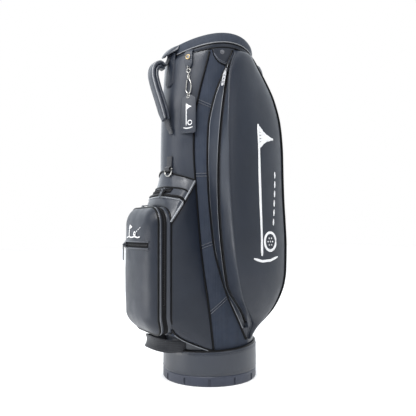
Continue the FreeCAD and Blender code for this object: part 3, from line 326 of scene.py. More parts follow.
def solid(name, verts, faces, mat, sharp=50):
    """Smooth-shaded mesh, normals outwards, edges beyond the sharp angle kept crisp."""
    piece = new_mesh(name, verts, faces, mat)
    mesh = piece.data
    work = bmesh.new()
    work.from_mesh(mesh)
    bmesh.ops.remove_doubles(work, verts=work.verts, dist=1e-6)
    bmesh.ops.recalc_face_normals(work, faces=work.faces)
    work.to_mesh(mesh)
    work.free()
    mesh.polygons.foreach_set("use_smooth", [True] * len(mesh.polygons))
    # loaded afresh, so that the angles come from the cleaned faces
    work = bmesh.new()
    work.from_mesh(mesh)
    for edge in work.edges:
        if len(edge.link_faces) == 2 and edge.calc_face_angle(0.0) > rad(sharp):
            edge.smooth = False
    work.to_mesh(mesh)
    work.free()
    return piece


def quads(rows, cols, wrap_rows=False, wrap_cols=False):
    """Faces of a grid of points numbered row by row."""
    faces = []
    for j in range(rows if wrap_rows else rows - 1):
        a = j * cols
        b = (j + 1) % rows * cols
        for i in range(cols if wrap_cols else cols - 1):
            k = (i + 1) % cols
            faces.append((a + i, a + k, b + k, b + i))
    return faces


def flipped(faces):
    return [(a, d, c, b) for a, b, c, d in faces]


def grid_of(point, us, vs):
    """Grid of point(u, v): one row for each v."""
    return np.array([[point(u, v) for u in us] for v in vs])


def grid_normals(grid):
    n = np.cross(np.gradient(grid, axis=1), np.gradient(grid, axis=0))
    return n / (np.linalg.norm(n, axis=2, keepdims=True) + 1e-9)


def edge_distance(grid):
    """Distance of every grid point from the nearest edge, along rows and columns."""
    rows, cols = grid.shape[:2]
    steps_u = np.linalg.norm(np.diff(grid, axis=1), axis=2)
    steps_v = np.linalg.norm(np.diff(grid, axis=0), axis=2)
    u = np.concatenate([np.zeros((rows, 1)), np.cumsum(steps_u, 1)], 1)
    v = np.concatenate([np.zeros((1, cols)), np.cumsum(steps_v, 0)], 0)
    return np.minimum.reduce([u, u[:, -1:] - u, v, v[-1:] - v])


def rumple(grid, height, size, seed):
    """Slow surface noise in mm at every point of a grid."""
    out = np.zeros(grid.shape[:2])
    for j, i in np.ndindex(out.shape):
        x, y, z = grid[j, i]
        v = Vector((x / size + seed * 7.3, y / size - seed * 3.1, z / (size * 1.5)))
        out[j, i] = noise.noise(v) + 0.45 * noise.noise(v * 2.3)
    return out * height


def cover(grid, out_hint=None, puff=0.0, roll=4.0, wrinkle=0.0, size=70.0, seed=1):
    """Outer points and normals of a padded sheet; its edges roll down into the seams."""
    normals = grid_normals(grid)
    if out_hint is None:
        centre = grid.reshape(-1, 3).mean(0)
        out_hint = (centre[0], centre[1], 0.0)
    if (normals * np.asarray(out_hint)).sum() < 0:
        normals = -normals
    depth = edge_distance(grid)
    height = puff * (1 - np.exp(-depth / roll))
    if wrinkle:
        height = height + rumple(grid, wrinkle, size, seed) * (1 - np.exp(-depth / 14.0))
    return grid + normals * height[..., None], normals


def shell(name, outer, inner, mat, rims, wrap=False):
    """Solid between two grids, closed along the given lines of point numbers."""
    rows, cols = outer.shape[:2]
    back = rows * cols
    faces = []
    for a, b, c, d in quads(rows, cols, wrap_cols=wrap):
        faces.append((a, b, c, d))
        faces.append((back + a, back + d, back + c, back + b))
    for line in rims:
        for a, b in zip(line[:-1], line[1:]):
            faces.append((a, b, back + b, back + a))
    verts = np.concatenate([outer.reshape(-1, 3), inner.reshape(-1, 3)])
    return solid(name, verts, faces, mat)


def sheet(name, grid, thick, mat, **padding):
    """Closed thick sheet over a grid of points; padding as in cover()."""
    outer, normals = cover(grid, **padding)
    rows, cols = grid.shape[:2]
    number = np.arange(rows * cols).reshape(rows, cols).tolist()
    rims = ([row[0] for row in number], [row[-1] for row in number][::-1],
            number[0][::-1], number[-1])
    return shell(name, outer, grid - normals * thick, mat, rims)


def arc_lengths(line):
    steps = np.linalg.norm(np.diff(line, axis=0), axis=1)
    return np.concatenate([[0], np.cumsum(steps)])


def even_steps(lengths, step):
    return linspace(0, lengths[-1], max(2, int(round(lengths[-1] / step)) + 1))


def at_lengths(stops, lengths, values):
    return np.stack([np.interp(stops, lengths, values[:, k]) for k in range(3)], 1)


def resample(line, step, closed=False):
    line = np.asarray(line, float)
    if closed:
        line = np.vstack([line, line[:1]])
    lengths = arc_lengths(line)
    out = at_lengths(even_steps(lengths, step), lengths, line)
    return out[:-1] if closed else out


def resample_pair(line, normals, step):
    """Even points and normals along a line; one normal may serve the whole line."""
    line = np.asarray(line, float)
    lengths = arc_lengths(line)
    stops = even_steps(lengths, step)
    normals = np.broadcast_to(normals, line.shape)
    return at_lengths(stops, lengths, line), at_lengths(stops, lengths, normals)


def spline(knots, count):
    """Catmull-Rom curve through points."""
    knots = np.asarray(knots, float)
    ends = np.vstack([2 * knots[0] - knots[1], knots, 2 * knots[-1] - knots[-2]])
    last = len(knots) - 1
    out = []
    for k in range(count):
        s = k / (count - 1.0) * last
        i = min(int(s), last - 1)
        u = s - i
        a, b, c, d = ends[i:i + 4]
        out.append(0.5 * (2 * b + (c - a) * u + (2 * a - 5 * b + 4 * c - d) * u * u
                          + (3 * b - a - 3 * c + d) * u ** 3))
    return np.array(out)


def frames_along(line, up=None, closed=False):
    """Tangent, up and side vectors along a line; without up they follow on smoothly."""
    count = len(line)
    tangents, ups = np.zeros_like(line), np.zeros_like(line)
    wanted = None if up is None else np.broadcast_to(np.asarray(up, float), line.shape)
    guide = np.array([0.3, 0.2, 0.93])
    for i in range(count):
        before = line[(i - 1) % count] if closed else line[max(0, i - 1)]
        after = line[(i + 1) % count] if closed else line[min(count - 1, i + 1)]
        ahead = tangents[i] = unit(after - before)
        if wanted is not None:
            guide = wanted[i]
        guide = unit(guide - ahead * (guide @ ahead))
        ups[i] = guide
    return tangents, ups, np.cross(tangents, ups)


def sweep(name, line, section, mat, up=None, closed=False, scale=None):
    """Sweep a closed section of (side, up) points along a line; open ends are capped."""
    line = np.asarray(line, float)
    tangents, ups, sides = frames_along(line, up, closed)
    count, size = len(line), len(section)
    verts = []
    for i in range(count):
        k = 1.0 if scale is None else scale[i]
        verts += [line[i] + sides[i] * a * k + ups[i] * b * k for a, b in section]
    faces = quads(count, size, wrap_rows=closed, wrap_cols=True)
    if not closed:
        start = len(verts)
        last = start - size
        verts.append(line[0] - tangents[0] * 0.3)
        verts.append(line[-1] + tangents[-1] * 0.3)
        for i in range(size):
            k = (i + 1) % size
            faces.append((start, k, i))
            faces.append((start + 1, last + i, last + k))
    return solid(name, np.array(verts), faces, mat)


def lathe(name, profile, steps, place, mat):
    """Closed ring; place(angle, a, b) puts each profile point (a, b)."""
    verts = [place(angle, *p) for angle in turn(steps) for p in profile]
    faces = flipped(quads(steps, len(profile), wrap_rows=True, wrap_cols=True))
    return solid(name, np.array(verts), faces, mat)


def circle(radius, count=10, flat=1.0):
    angles = [2 * math.pi * i / count for i in range(count)]
    return [(radius * math.cos(a), radius * flat * math.sin(a)) for a in angles]


def rounded_rect(half_width, low, high, radius, corner_steps):
    """Closed rounded outline, anticlockwise from the right end of the upper corner."""
    x = half_width - radius
    points = []
    corners = ((x, high - radius), (-x, high - radius), (-x, low + radius), (x, low + radius))
    for quarter, (cx, cz) in enumerate(corners):
        for k in range(corner_steps + 1):
            a = rad(90.0 * quarter + 90.0 * k / corner_steps)
            points.append((cx + radius * math.cos(a), cz + radius * math.sin(a)))
    return points


def slab(width, thick, radius):
    """Rounded rectangle section of a strap."""
    return rounded_rect(width / 2, -thick / 2, thick / 2, radius, 3)


def merge(name, parts):
    """Join several objects into one piece."""
    for other in bpy.context.view_layer.objects:
        other.select_set(False)
    for part in parts:
        part.select_set(True)
    bpy.context.view_layer.objects.active = parts[0]
    with bpy.context.temp_override(active_object=parts[0], selected_objects=parts,
                                   selected_editable_objects=parts):
        bpy.ops.object.join()
    parts[0].name = name
    parts[0].data.name = name
    return parts[0]


def stitches(name, line, normals, pitch=4.4, length=3.0, radius=0.34):
    """A row of separate thread stitches lying on a line."""
    points, normals = resample_pair(line, normals, pitch)
    verts, faces = [], []
    for i in range(len(points) - 1):
        ahead = unit(points[i + 1] - points[i])
        up = unit(normals[i])
        side = np.cross(ahead, up)
        centre = 0.5 * (points[i] + points[i + 1]) + up * 0.25
        base = len(verts)
        for place, swell in ((-0.5, 0.35), (-0.3, 1.0), (0.3, 1.0), (0.5, 0.35)):
            dip = -0.5 * radius if swell < 0.5 else 0.0
            for a, b in circle(radius * swell, 5):
                verts.append(centre + ahead * place * length + side * a * 1.2 + up * (b + dip))
        faces += [tuple(base + k for k in face) for face in quads(4, 5, wrap_cols=True)]
        faces.append(tuple(base + k for k in range(4, -1, -1)))
        faces.append(tuple(base + 15 + k for k in range(5)))
    return new_mesh(name, np.array(verts), faces, STITCH)


TOOTH_PITCH = 2.7
TOOTH_REACH = 2.4
TOOTH_HEIGHT = 1.15
TOOTH_FACES = ((0, 2, 3, 1), (4, 5, 7, 6), (0, 1, 5, 4), (2, 6, 7, 3), (1, 3, 7, 5),
               (0, 4, 6, 2))


def teeth(name, line, normals, sides):
    """Two interleaved rows of moulded zipper teeth along a line."""
    lengths = arc_lengths(line)
    count = int(lengths[-1] / TOOTH_PITCH)
    stops = linspace(0, lengths[-1], count + 1)
    points, ups, sides = (at_lengths(stops, lengths, np.broadcast_to(values, line.shape))
                          for values in (line, normals, sides))
    verts, faces = [], []
    for i in range(count):
        ahead = unit(points[i + 1] - points[i])
        up, side = unit(ups[i]), unit(sides[i])
        centre = points[i] + side * (1 if i % 2 else -1) * TOOTH_REACH * 0.35
        base = len(verts)
        for a in (-1, 1):
            for b in (-1, 1):
                for top in (0, 1):
                    taper = 0.72 if top else 1.0
                    verts.append(centre + ahead * a * TOOTH_PITCH * 0.34 * taper
                                 + side * b * TOOTH_REACH * 0.62 * taper
                                 + up * (top * TOOTH_HEIGHT))
        faces += [tuple(base + k for k in face) for face in TOOTH_FACES]
    return new_mesh(name, np.array(verts), faces, TEETH, smooth_shade=False)


def mirror_copy(piece, name):
    """Copy mirrored across X = 0."""
    copy = piece.copy()
    copy.data = piece.data.copy()
    copy.name = name
    copy.data.name = name
    places = np.zeros(len(copy.data.vertices) * 3)
    copy.data.vertices.foreach_get("co", places)
    places[::3] *= -1
    copy.data.vertices.foreach_set("co", places)
    copy.data.flip_normals()
    bpy.context.scene.collection.objects.link(copy)
    return copy


def done(piece, slot, *nodes, body="bag"):
    """Fix a piece to a body and hide the CAD nodes it replaces; the slot is not used."""
    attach(piece, body)
    if nodes:
        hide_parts(*nodes)


def both(piece, node=None, slot="leather_black"):
    """Keep a right-hand piece and add its mirror image on the left."""
    base = piece.name
    piece.name = base + "_right"
    copy = mirror_copy(piece, base + "_left")
    for part, side in ((piece, "_right"), (copy, "_left")):
        done(part, slot, *([node + side] if node else []))


def cord(name, line, radius, mat, slot="piping_black", mirror=True, sides=10):
    """Round cord along a line."""
    piece = sweep(name, resample(line, 6.0), circle(radius, sides), mat)
    if mirror:
        both(piece, None, slot)
    else:
        done(piece, slot)


# ============================================================ shape of the bag
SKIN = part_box("rim_cover")[1].x * 1000 - 1.3      # outer leather radius
RIM_LOW = 853.0                                   # rim height on the axis plane X = 0
ARCH = 272.8                                      # radius of the rim's dip across X
COLLAR_TOP = RIM_LOW - 24.5
COLLAR_LOW = COLLAR_TOP - 13.5
PANEL_TOP = COLLAR_LOW + 1
PANEL_LOW = 74.0


def arch(x, low=RIM_LOW):
    """Height at x of an edge that dips to low at the middle, as the rim does."""
    return low + ARCH - math.sqrt(ARCH ** 2 - min(abs(x), 130) ** 2)


def arch_round(angle, low=RIM_LOW, radius=114.0):
    return arch(radius * math.sin(rad(angle)), low)


# angle of the stay band's front edge: z, degrees
BAND_EDGE = [(72, 66.0), (195, 59.0), (305, 51.0), (487, 43.0), (581, 40.0), (634, 40.0),
             (711, 46.0), (800, 57.0), (840, 62.0)]
# swell of the front panel at its middle: z, mm
FRONT_SWELL = [(500, 22.0), (560, 23.0), (620, 22.0), (680, 19.5), (740, 14.0), (790, 9.0),
               (815, 7.0), (840, 5.5)]
# feet of the apparel pocket, as angles from its middle: z, degrees
POCKET_UPPER = [(280, 33.0), (334, 38.0), (400, 42.0), (487, 45.5), (560, 46.5), (633, 45.5),
                (695, 40.0), (760, 29.0), (800, 20.0), (829, 14.0)]
POCKET_REAR = [(104, 14.0), (118, 15.0), (140, 17.0), (160, 19.5), (184, 22.5), (215, 26.0),
               (245, 29.5)] + POCKET_UPPER
POCKET_FRONT = [(104, -10.5), (118, -5.0), (140, 1.0), (160, 6.5), (184, 13.0), (215, 20.5),
                (245, 26.0), (280, 31.5)] + POCKET_UPPER[1:]
# face of the apparel pocket: z, distance out, front crease, rear crease (along)
POCKET_FACE = [
    (104, 119.5, 24, 27), (112, 124.0, 22, 28), (126, 133.0, 17, 30), (140, 140.0, 17, 37),
    (160, 151.0, 1, 55), (184, 164.0, -25, 71), (215, 175.0, -52, 84), (245, 180.0, -67, 94),
    (280, 182.0, -78, 99), (340, 182.0, -88, 101), (400, 180.0, -94, 100),
    (460, 177.0, -97, 99), (520, 175.0, -99, 99), (574, 174.0, -99, 99), (615, 172.0, -98, 98),
    (655, 170.0, -95, 93.5), (715, 163.0, -86, 78), (760, 154.0, -74, 57),
    (800, 144.0, -53, 34), (824, 133.5, -33, 25), (834, 121.0, -26, 21)]
POCKET_ANGLE = 104.5
OUT = around(1, POCKET_ANGLE, 0)      # out of the right apparel pocket
ALONG = tangent(POCKET_ANGLE)         # across its face, towards the rear
UP = np.array([0, 0, 1.0])


def band_edge(z):
    return curve_at(BAND_EDGE, z)


def spine_seam(z):
    """Angle of the seam between stay band and spine panel."""
    return 104.0 + 14.5 * smooth(178.0, 106.0, z)


def front_swell(angle, z):
    edge = band_edge(z) - 0.4
    k = max(0.0, math.cos(rad(90.0 * min(1.0, abs(angle) / edge))))
    return curve_at(FRONT_SWELL, z) * k ** 1.3


def skin_grid(start, end, low, high, rows, cols, swell=None, top=None):
    """Grid on the tube between two angle curves; top gives it an arched upper edge."""
    grid = np.zeros((rows, cols, 3))
    for j, v in enumerate(linspace(0, 1, rows)):
        for i, u in enumerate(linspace(0, 1, cols)):
            z = low + (high - low) * v
            angle = start(z) + (end(z) - start(z)) * u
            if top is not None:
                z = low + (arch_round(angle, top) - low) * v
                angle = start(z) + (end(z) - start(z)) * u
            grid[j, i] = around(SKIN + (swell(angle, z) if swell else 0.0), angle, z)
    return grid


# ------------------------------------------------------------ panels on the tube
both(sheet("stay_band_panel",
           skin_grid(band_edge, spine_seam, PANEL_LOW, 830.0, 150, 26, top=PANEL_TOP),
           2.0, BAND_CLOTH, puff=0.8, roll=3.0, wrinkle=0.35, size=50.0),
     "stay_band", "ripstop_dark")

panel = skin_grid(lambda z: -band_edge(z), band_edge, 506.0, 830.0, 72, 56,
                  swell=front_swell, top=PANEL_TOP)
done(sheet("front_panel_leather", panel, 2.0, LEATHER,
           puff=1.4, roll=5.0, wrinkle=1.3, size=85.0, seed=3), "leather_black", "front_panel")

panel = skin_grid(spine_seam, lambda z: 360.0 - spine_seam(z), PANEL_LOW, 830.0, 110, 60,
                  top=PANEL_TOP)
done(sheet("spine_panel_leather", panel, 2.0, LEATHER,
           puff=1.4, roll=5.0, wrinkle=0.8, size=95.0, seed=5), "leather_black", "spine_panel")

panel = skin_grid(lambda z: -band_edge(z), band_edge, PANEL_LOW, 140.0, 16, 50)
done(sheet("lower_front_leather", panel, 2.0, LEATHER, puff=1.0, roll=4.0, wrinkle=0.4),
     "leather_black", "lower_front_panel")

# paired seams across the stay band: height at its front edge, rise per mm towards the rear
CROSS_SEAMS = ((702.0, -0.45), (517.0, 0.0), (338.0, 0.38), (178.0, 0.85))
SEAM_HALF_GAP = 3.4
parts = []
for height, slope in CROSS_SEAMS:
    for offset in (-SEAM_HALF_GAP, SEAM_HALF_GAP):
        line, normals = [], []
        for k in range(40):
            angle = band_edge(height) + 1.0 + k * 0.8
            z = height + offset + slope * (k * 1.6)
            # stop at the apparel pocket's foot
            if angle > POCKET_ANGLE - curve_at(POCKET_FRONT, z) + 0.5:
                break
            line.append(around(SKIN + 1.15, angle, z))
            normals.append(around(1, angle, 0))
        parts.append(sweep("part", resample(line, 3.0), circle(1.15, 8, 0.8), RIDGE,
                           up=(1, 0, 0)))
        parts.append(stitches("part", np.array(line) + np.array(normals) * 0.9, normals,
                              pitch=4.2, length=2.9, radius=0.45))
both(merge("band_cross_seams", parts), None, "ripstop_dark")

# rounded tab over the band that carries the snap of the rain hood
# its lower edge: degrees, z
TAB_LOW = [(63.5, 832), (65.5, 818), (69, 806), (73, 799), (78, 795), (84, 793), (96, 793)]


def tab_at(u, v):
    angle = 63.5 + 30.0 * u
    z = curve_at(TAB_LOW, angle) * (1 - v) + (arch_round(angle, COLLAR_LOW) + 0.5) * v
    return around(SKIN + 1.5, angle, z)


# made in the darker leather copy, whose colour is painted shade
both(sheet("snap_tab", grid_of(tab_at, linspace(0, 1, 30), linspace(0, 1, 14)), 1.6, SHADED_LEATHER,
           puff=0.8, roll=2.0))
parts = []
for inset in (3.2, 6.6):
    line = [around(SKIN + 2.5, a, curve_at(TAB_LOW, a) + inset + (72 - a) * 0.05)
            for a in linspace(64.8 + inset * 0.22, 92, 40)]
    parts.append(sweep("part", resample(line, 2.5), circle(0.75, 8, 0.8), RIDGE, up=(1, 0, 0)))
both(merge("snap_tab_seams", parts))
line = [around(SKIN + 1.9, a, curve_at(TAB_LOW, a) - 0.6) for a in linspace(63.6, 92, 50)]
both(sweep("snap_tab_edge", resample(line, 3.0), circle(1.3, 8), GLOSS, up=(1, 0, 0)),
     None, "piping_black")

cord("band_front_piping",
     [around(SKIN + 1.4, band_edge(z), z) for z in linspace(78, 826, 120)], 2.4, GLOSS)

# ------------------------------------------------------- side apparel pockets
# Each pocket has a face and two walls, front (sign -1) and rear (sign 1). A zipper runs
# up each wall on an arc; u goes from the wall's foot (0) over the zipper (0.5) to the
# crease with the face (1).
ZIP_ARC = 1101.0           # radius of the zipper's arc
ZIP_ARC_CENTRE = 1008.0    # distance of its centre along the face
ZIP_OUT = 127.0            # zipper's distance out at its middle height
ZIP_Z = 508.0
ZIP_TILT = -0.008
POCKET_LOW, POCKET_TOP = 106.0, 833.0
ROWS = linspace(POCKET_LOW, POCKET_TOP, 150)


def pocket_point(out, along, z):
    return OUT * out + ALONG * along + UP * z


def face_sizes(z):
    """Distance out, front crease and rear crease of the pocket's face."""
    return tuple(curve_at(POCKET_FACE, z, k) for k in (1, 2, 3))


def zip_middle(z, sign):
    up_arc = (z - ZIP_Z) * math.sqrt(1 + ZIP_TILT * ZIP_TILT)
    along = -sign * (ZIP_ARC_CENTRE - math.sqrt(ZIP_ARC ** 2 - up_arc * up_arc))
    return ZIP_OUT - (z - ZIP_Z) * ZIP_TILT, along


def wall_ends(z, sign):
    """Foot and crease of a wall as (out, along)."""
    out, front, rear = face_sizes(z)
    angle = rad(curve_at(POCKET_FRONT if sign < 0 else POCKET_REAR, z))
    radius = SKIN + 0.8
    foot = np.array([radius * math.cos(angle), sign * radius * math.sin(angle)])
    crease = (front if sign < 0 else rear) + 0.5 * sign
    return foot, np.array([max(out - 8.5, foot[0] + 2.2), crease])


def wall_knots(z, sign):
    """Foot, middle and crease; beyond the zipper's ends the bulge of its arc fades."""
    foot, crease = wall_ends(z, sign)
    z_zip = min(max(z, 246.0), 792.0)
    zip_foot, zip_crease = wall_ends(z_zip, sign)
    zip_out, zip_along = zip_middle(z_zip, sign)
    share = (zip_out - zip_foot[0]) / max(1.0, zip_crease[0] - zip_foot[0])
    share = min(0.80, max(0.30, share))
    bulge = zip_along - (zip_foot[1] + (zip_crease[1] - zip_foot[1]) * share)
    fade = 1 - smooth(0.0, 70.0, abs(z - z_zip))
    thin = smooth(2.0, 26.0, crease[0] - foot[0])
    share = 0.56 + (share - 0.56) * fade
    middle = foot + (crease - foot) * share + np.array([0.0, bulge * fade * thin])
    return foot, middle, crease


def wall_at(u, z, sign, lift_out=0.0, lift=0.0):
    """Point of a wall, moved out with the face and off the wall by the lifts."""
    foot, middle, crease = wall_knots(z, sign)
    width = crease[0] - foot[0]
    half = min(7.0, 0.42 * width)
    lean = np.array([half, sign * 0.30 * smooth(4, 20, width) * half])
    low, high = middle - lean, middle + lean
    knots = [(0.0, *foot), (0.36, *low), (0.64, *high), (1.0, *crease)]
    if high[0] > crease[0] - 0.4 or low[0] < foot[0] + 0.4:
        knots = [(0.0, *foot), (0.5, *middle), (1.0, *crease)]
    point = pocket_point(curve_at(knots, u), curve_at(knots, u, 2), z)
    return point + OUT * lift_out + ALONG * sign * lift


def face_at(u, z, lift=0.0):
    """Point of the pocket's face, u -1 at the front crease .. 1 at the rear one."""
    out, front, rear = face_sizes(z)
    along = 0.5 * (front + rear) + 0.5 * (rear - front) * u
    crown = 3.4 * (1 - u * u) * smooth(8, 40, rear - front)
    return pocket_point(out - 8.5 * abs(u) ** 3.0 + crown + lift, along, z)


# cords on every wall: name, u, lift out, lift off the wall, lowest z, highest z, points,
# radius, material, slot, sides of the section
FOOT_CORDS = [
    ("pocket_foot_piping_", 0.0, 0.6, 1.6, POCKET_LOW, POCKET_TOP, 110,
     3.0, GLOSS, "piping_black", 10),
    # light cord: painted highlight beside the black foot piping
    ("pocket_foot_cord_", 0.0, 4.3, 0.9, POCKET_LOW + 30, POCKET_TOP - 20, 100,
     1.1, PAINTED_HIGHLIGHT, "piping_black", 10)]
ZIP_CORDS = [
    # light cord: painted highlight on the black edge of the zipper
    ("zip_edge_cord_", 0.365, 0.0, 1.9, 148, 790, 100, 0.9, PAINTED_HIGHLIGHT, "leather_black", 8),
    ("zip_edge_dark_", 0.405, 0.0, 1.4, 148, 790, 100, 1.5, GLOSS, "leather_black", 8)]
# cord on the crease: lift out, lift off the wall, radius and material
CREASE_CORD = {"front": (0.3, 0.5, 1.4, LEATHER), "rear": (0.8, 1.9, 3.1, GLOSS)}

for sign, end in ((-1, "front"), (1, "rear")):
    hint = ALONG * sign

    def on_wall(u, z):
        return wall_at(u, z, sign)

    for part, start, stop, seed in (("inner", 0.0, 0.40, 7), ("outer", 0.60, 1.0, 9)):
        grid = grid_of(on_wall, linspace(start, stop, 9), ROWS)
        wall = sheet("pocket_wall_%s_%s" % (part, end), grid, 2.2, LEATHER, out_hint=hint,
                     puff=0.9, roll=2.5, wrinkle=0.5, size=45.0, seed=seed + sign)
        both(wall, "apparel_gusset" if (part, end) == ("inner", "front") else None)

    grid = grid_of(on_wall, linspace(0.37, 0.63, 7), ROWS)
    normals = grid_normals(grid)
    if (normals * hint).sum() < 0:
        normals = -normals
    tape = grid - normals * 0.5
    both(sheet("pocket_zip_tape_" + end, tape, 1.0, TAPE, out_hint=hint),
         "apparel_zippers" if end == "front" else None, "zipper_tape")
    toothed = (ROWS >= 150) & (ROWS <= 790)
    across = np.gradient(grid, axis=1)[toothed, 3]
    across = across / np.linalg.norm(across, axis=1, keepdims=True)
    normals = normals[:, 3]
    both(teeth("pocket_zip_teeth_" + end, tape[toothed, 3] + normals[toothed] * 0.3,
               normals[toothed], across), None, "zipper_tape")

    lift_out, lift, radius, mat = CREASE_CORD[end]
    crease_cord = ("pocket_crease_cord_", 1.0, lift_out, lift, POCKET_LOW + 2,
                   POCKET_TOP - 2, 110, radius, mat, "piping_black", 10)
    for (name, u, lift_out, lift, low, high, count,
         radius, mat, slot, sides) in FOOT_CORDS + [crease_cord] + ZIP_CORDS:
        line = [wall_at(u, z, sign, lift_out, lift) for z in linspace(low, high, count)]
        cord(name + end, line, radius, mat, slot, sides=sides)

    zip_normal = normals[len(ROWS) // 2]
    for k, u in enumerate((0.37, 0.63)):
        line = np.array([on_wall(u, z) for z in linspace(152, 788, 100)])
        both(stitches("zip_stitch_%s_%d" % (end, k), line + zip_normal * 0.75, zip_normal,
                      pitch=4.0, radius=0.3))

    # leather end piece that closes the zipper's lower end
    grid = grid_of(lambda u, z: wall_at(u, z, sign, lift=0.9),
                   linspace(0.34, 0.66, 7), linspace(110, 150, 16))
    both(sheet("pocket_zip_end_" + end, grid, 1.6, LEATHER, out_hint=hint, puff=0.7, roll=2.0))

# the face uses the darker leather copy: painted shade where it turns towards the dim side
both(sheet("pocket_face_leather", grid_of(face_at, linspace(-1, 1, 44), ROWS), 2.4, SHADED_LEATHER,
           out_hint=OUT, puff=1.6, roll=4.0, wrinkle=1.0, size=120.0, seed=11),
     "apparel_face")

# ---------------------------------------------------------------- ball pocket
BALL_HALF = 90.0                    # half width of the pocket's box
BALL_LOW, BALL_TOP = 128.0, 435.0
BALL_CORNER = 42.0


def tuck(z):
    """How far the pocket's box leans back towards its bottom."""
    return 14.0 * smooth(180.0, 124.0, z) ** 1.3


def outline_half(z):
    """Half width of the rounded outline at a height."""
    past = max(BALL_LOW + BALL_CORNER - z, z - BALL_TOP + BALL_CORNER, 0.0)
    return BALL_HALF - BALL_CORNER + math.sqrt(max(0.0, BALL_CORNER ** 2 - past ** 2))


def inside_distance(x, z):
    """Distance inwards from the rounded outline."""
    qx = abs(x) - (BALL_HALF - BALL_CORNER)
    qz = abs(z - 0.5 * (BALL_LOW + BALL_TOP)) - (0.5 * (BALL_TOP - BALL_LOW) - BALL_CORNER)
    beyond = math.hypot(max(qx, 0), max(qz, 0)) + min(max(qx, qz), 0)
    return max(0.0, BALL_CORNER - beyond)


def ball_at(u, z, lift=0.0):
    """Point of the pocket's face, u -1 at its left edge .. 1 at its right one."""
    x = outline_half(z) * u
    edge_rise = 20.5 * (1 - math.exp(-inside_distance(x, z) / 15.0))
    crown = max(0.0, 1 - ((z - 288.0) / 150.0) ** 2) ** 0.6
    front = 190.5 + edge_rise + 8.5 * (1 - (x / 92.0) ** 2) * crown
    return np.array([x, -(front + lift) + tuck(z), z])


# rows and columns crowd towards the edges
heights = [BALL_LOW + (BALL_TOP - BALL_LOW) * (0.5 - 0.5 * math.cos(a))
           for a in linspace(0, math.pi, 70)]
across = [math.sin(a) for a in linspace(-0.5 * math.pi, 0.5 * math.pi, 51)]
# the face uses the darker leather copy: painted shade where it turns towards the dim side
done(sheet("ball_face_leather", grid_of(ball_at, across, heights), 3.0, SHADED_LEATHER,
           out_hint=(0, -1, 0), puff=0.9, roll=6.0, wrinkle=1.5, size=62.0, seed=13),
     "leather_black", "ball_pocket_face")


def ball_outline(grow=0.0):
    return rounded_rect(BALL_HALF + grow, BALL_LOW - grow, BALL_TOP + grow, BALL_CORNER, 8)


def ring_strip(name, y_front, y_rear, bulges, mat, thick=2.0, puff=0.8):
    """Band round the pocket between two depths, one bulge for each of its rows."""
    line = resample([(x, 0, z) for x, z in ball_outline()], 6.0, True)
    centre = line.mean(0)
    rows, count = len(bulges), len(line)
    grid = np.zeros((rows, count, 3))
    for j, (y, bulge) in enumerate(zip(linspace(y_front, y_rear, rows), bulges)):
        for i, p in enumerate(line):
            ahead = unit(line[(i + 1) % count] - line[i - 1])
            out = np.array([ahead[2], 0, -ahead[0]])
            if out @ (p - centre) < 0:
                out = -out
            grid[j, i] = p + out * bulge + np.array([0, y + tuck(p[2]), 0])
    normals = np.zeros_like(grid)
    for j, i in np.ndindex(rows, count):
        ahead = unit(grid[j, (i + 1) % count] - grid[j, i - 1])
        back = unit(grid[min(rows - 1, j + 1), i] - grid[max(0, j - 1), i])
        out = np.cross(ahead, back)
        if out @ (grid[j, i] - np.array([centre[0], grid[j, i][1], centre[2]])) < 0:
            out = -out
        normals[j, i] = unit(out)
    profile = puff * np.sin(np.pi * linspace(0, 1, rows)) ** 0.5
    rims = [[j * count + i % count for i in range(count + 1)] for j in (0, rows - 1)]
    piece = shell(name, grid + normals * profile[:, None, None], grid - normals * thick,
                  mat, rims, wrap=True)
    return piece, grid, normals


GUSSET_BULGES = (0, 0.6, 0.8, 0.6, 0)
strip, _, _ = ring_strip("ball_gusset_front", -190.0, -181.0, GUSSET_BULGES, LEATHER)
done(strip, "leather_black", "ball_pocket_gusset")
strip, grid, normals = ring_strip("ball_zip_tape", -181.0, -169.0, (0, 0.2, 0.3, 0.2, 0), TAPE,
                                  thick=1.2, puff=0.2)
done(strip, "zipper_tape", "ball_pocket_zipper")
# the teeth run over the top and stop short of the bottom
middle = grid[2]
toothed = sorted((i for i in range(len(middle)) if middle[i][2] > 196),
                 key=lambda i: math.atan2(middle[i][0], middle[i][2] - 300))
normals = normals[2][toothed]
done(teeth("ball_zip_teeth", middle[toothed] + normals * 0.5, normals, (0, 1.0, 0)),
     "zipper_tape")
strip, _, _ = ring_strip("ball_gusset_rear", -169.0, -158.0, GUSSET_BULGES, LEATHER)
done(strip, "leather_black")

# cords round the box: name, y, growth of the outline, radius, sides, material
for name, y, grow, radius, sides, mat in (
        ("ball_face_piping", -190.5, 0.6, 2.4, 10, GLOSS),
        ("ball_rear_piping", -157.5, 0.8, 2.0, 10, GLOSS),
        # light cord: painted highlight along the black face piping
        ("ball_light_cord", -186.6, 0.9, 1.1, 8, PAINTED_HIGHLIGHT)):
    line = resample([(x, y + tuck(z), z) for x, z in ball_outline(grow)], 5.0, True)
    done(sweep(name, line, circle(radius, sides), mat, up=(0, 1, 0), closed=True),
         "piping_black")

# Walls from the box's rear edge to the tube, from the top of the side seam to the centre
# of the underside: x and z on the box, angle and z on the tube; without an angle the wall
# meets the stay band's front edge
WALL_STATIONS = [
    (88.5, 398.0, None, 500.0), (90.0, 360.0, None, 440.0), (90.0, 300.0, None, 350.0),
    (90.0, 240.0, None, 255.0), (90.0, 170.0, None, 165.0), (84.4, 149.0, None, 106.0),
    (69.0, 133.6, 65.0, 86.0), (48.0, 128.0, 54.0, 93.0), (32.0, 128.0, 38.0, 102.0),
    (16.0, 128.0, 19.0, 109.0), (0.0, 128.0, 0.0, 112.0)]
WALL_TABLE = [(k, x, z, band_edge(tube_z) - 0.2 if angle is None else angle, tube_z)
              for k, (x, z, angle, tube_z) in enumerate(WALL_STATIONS)]


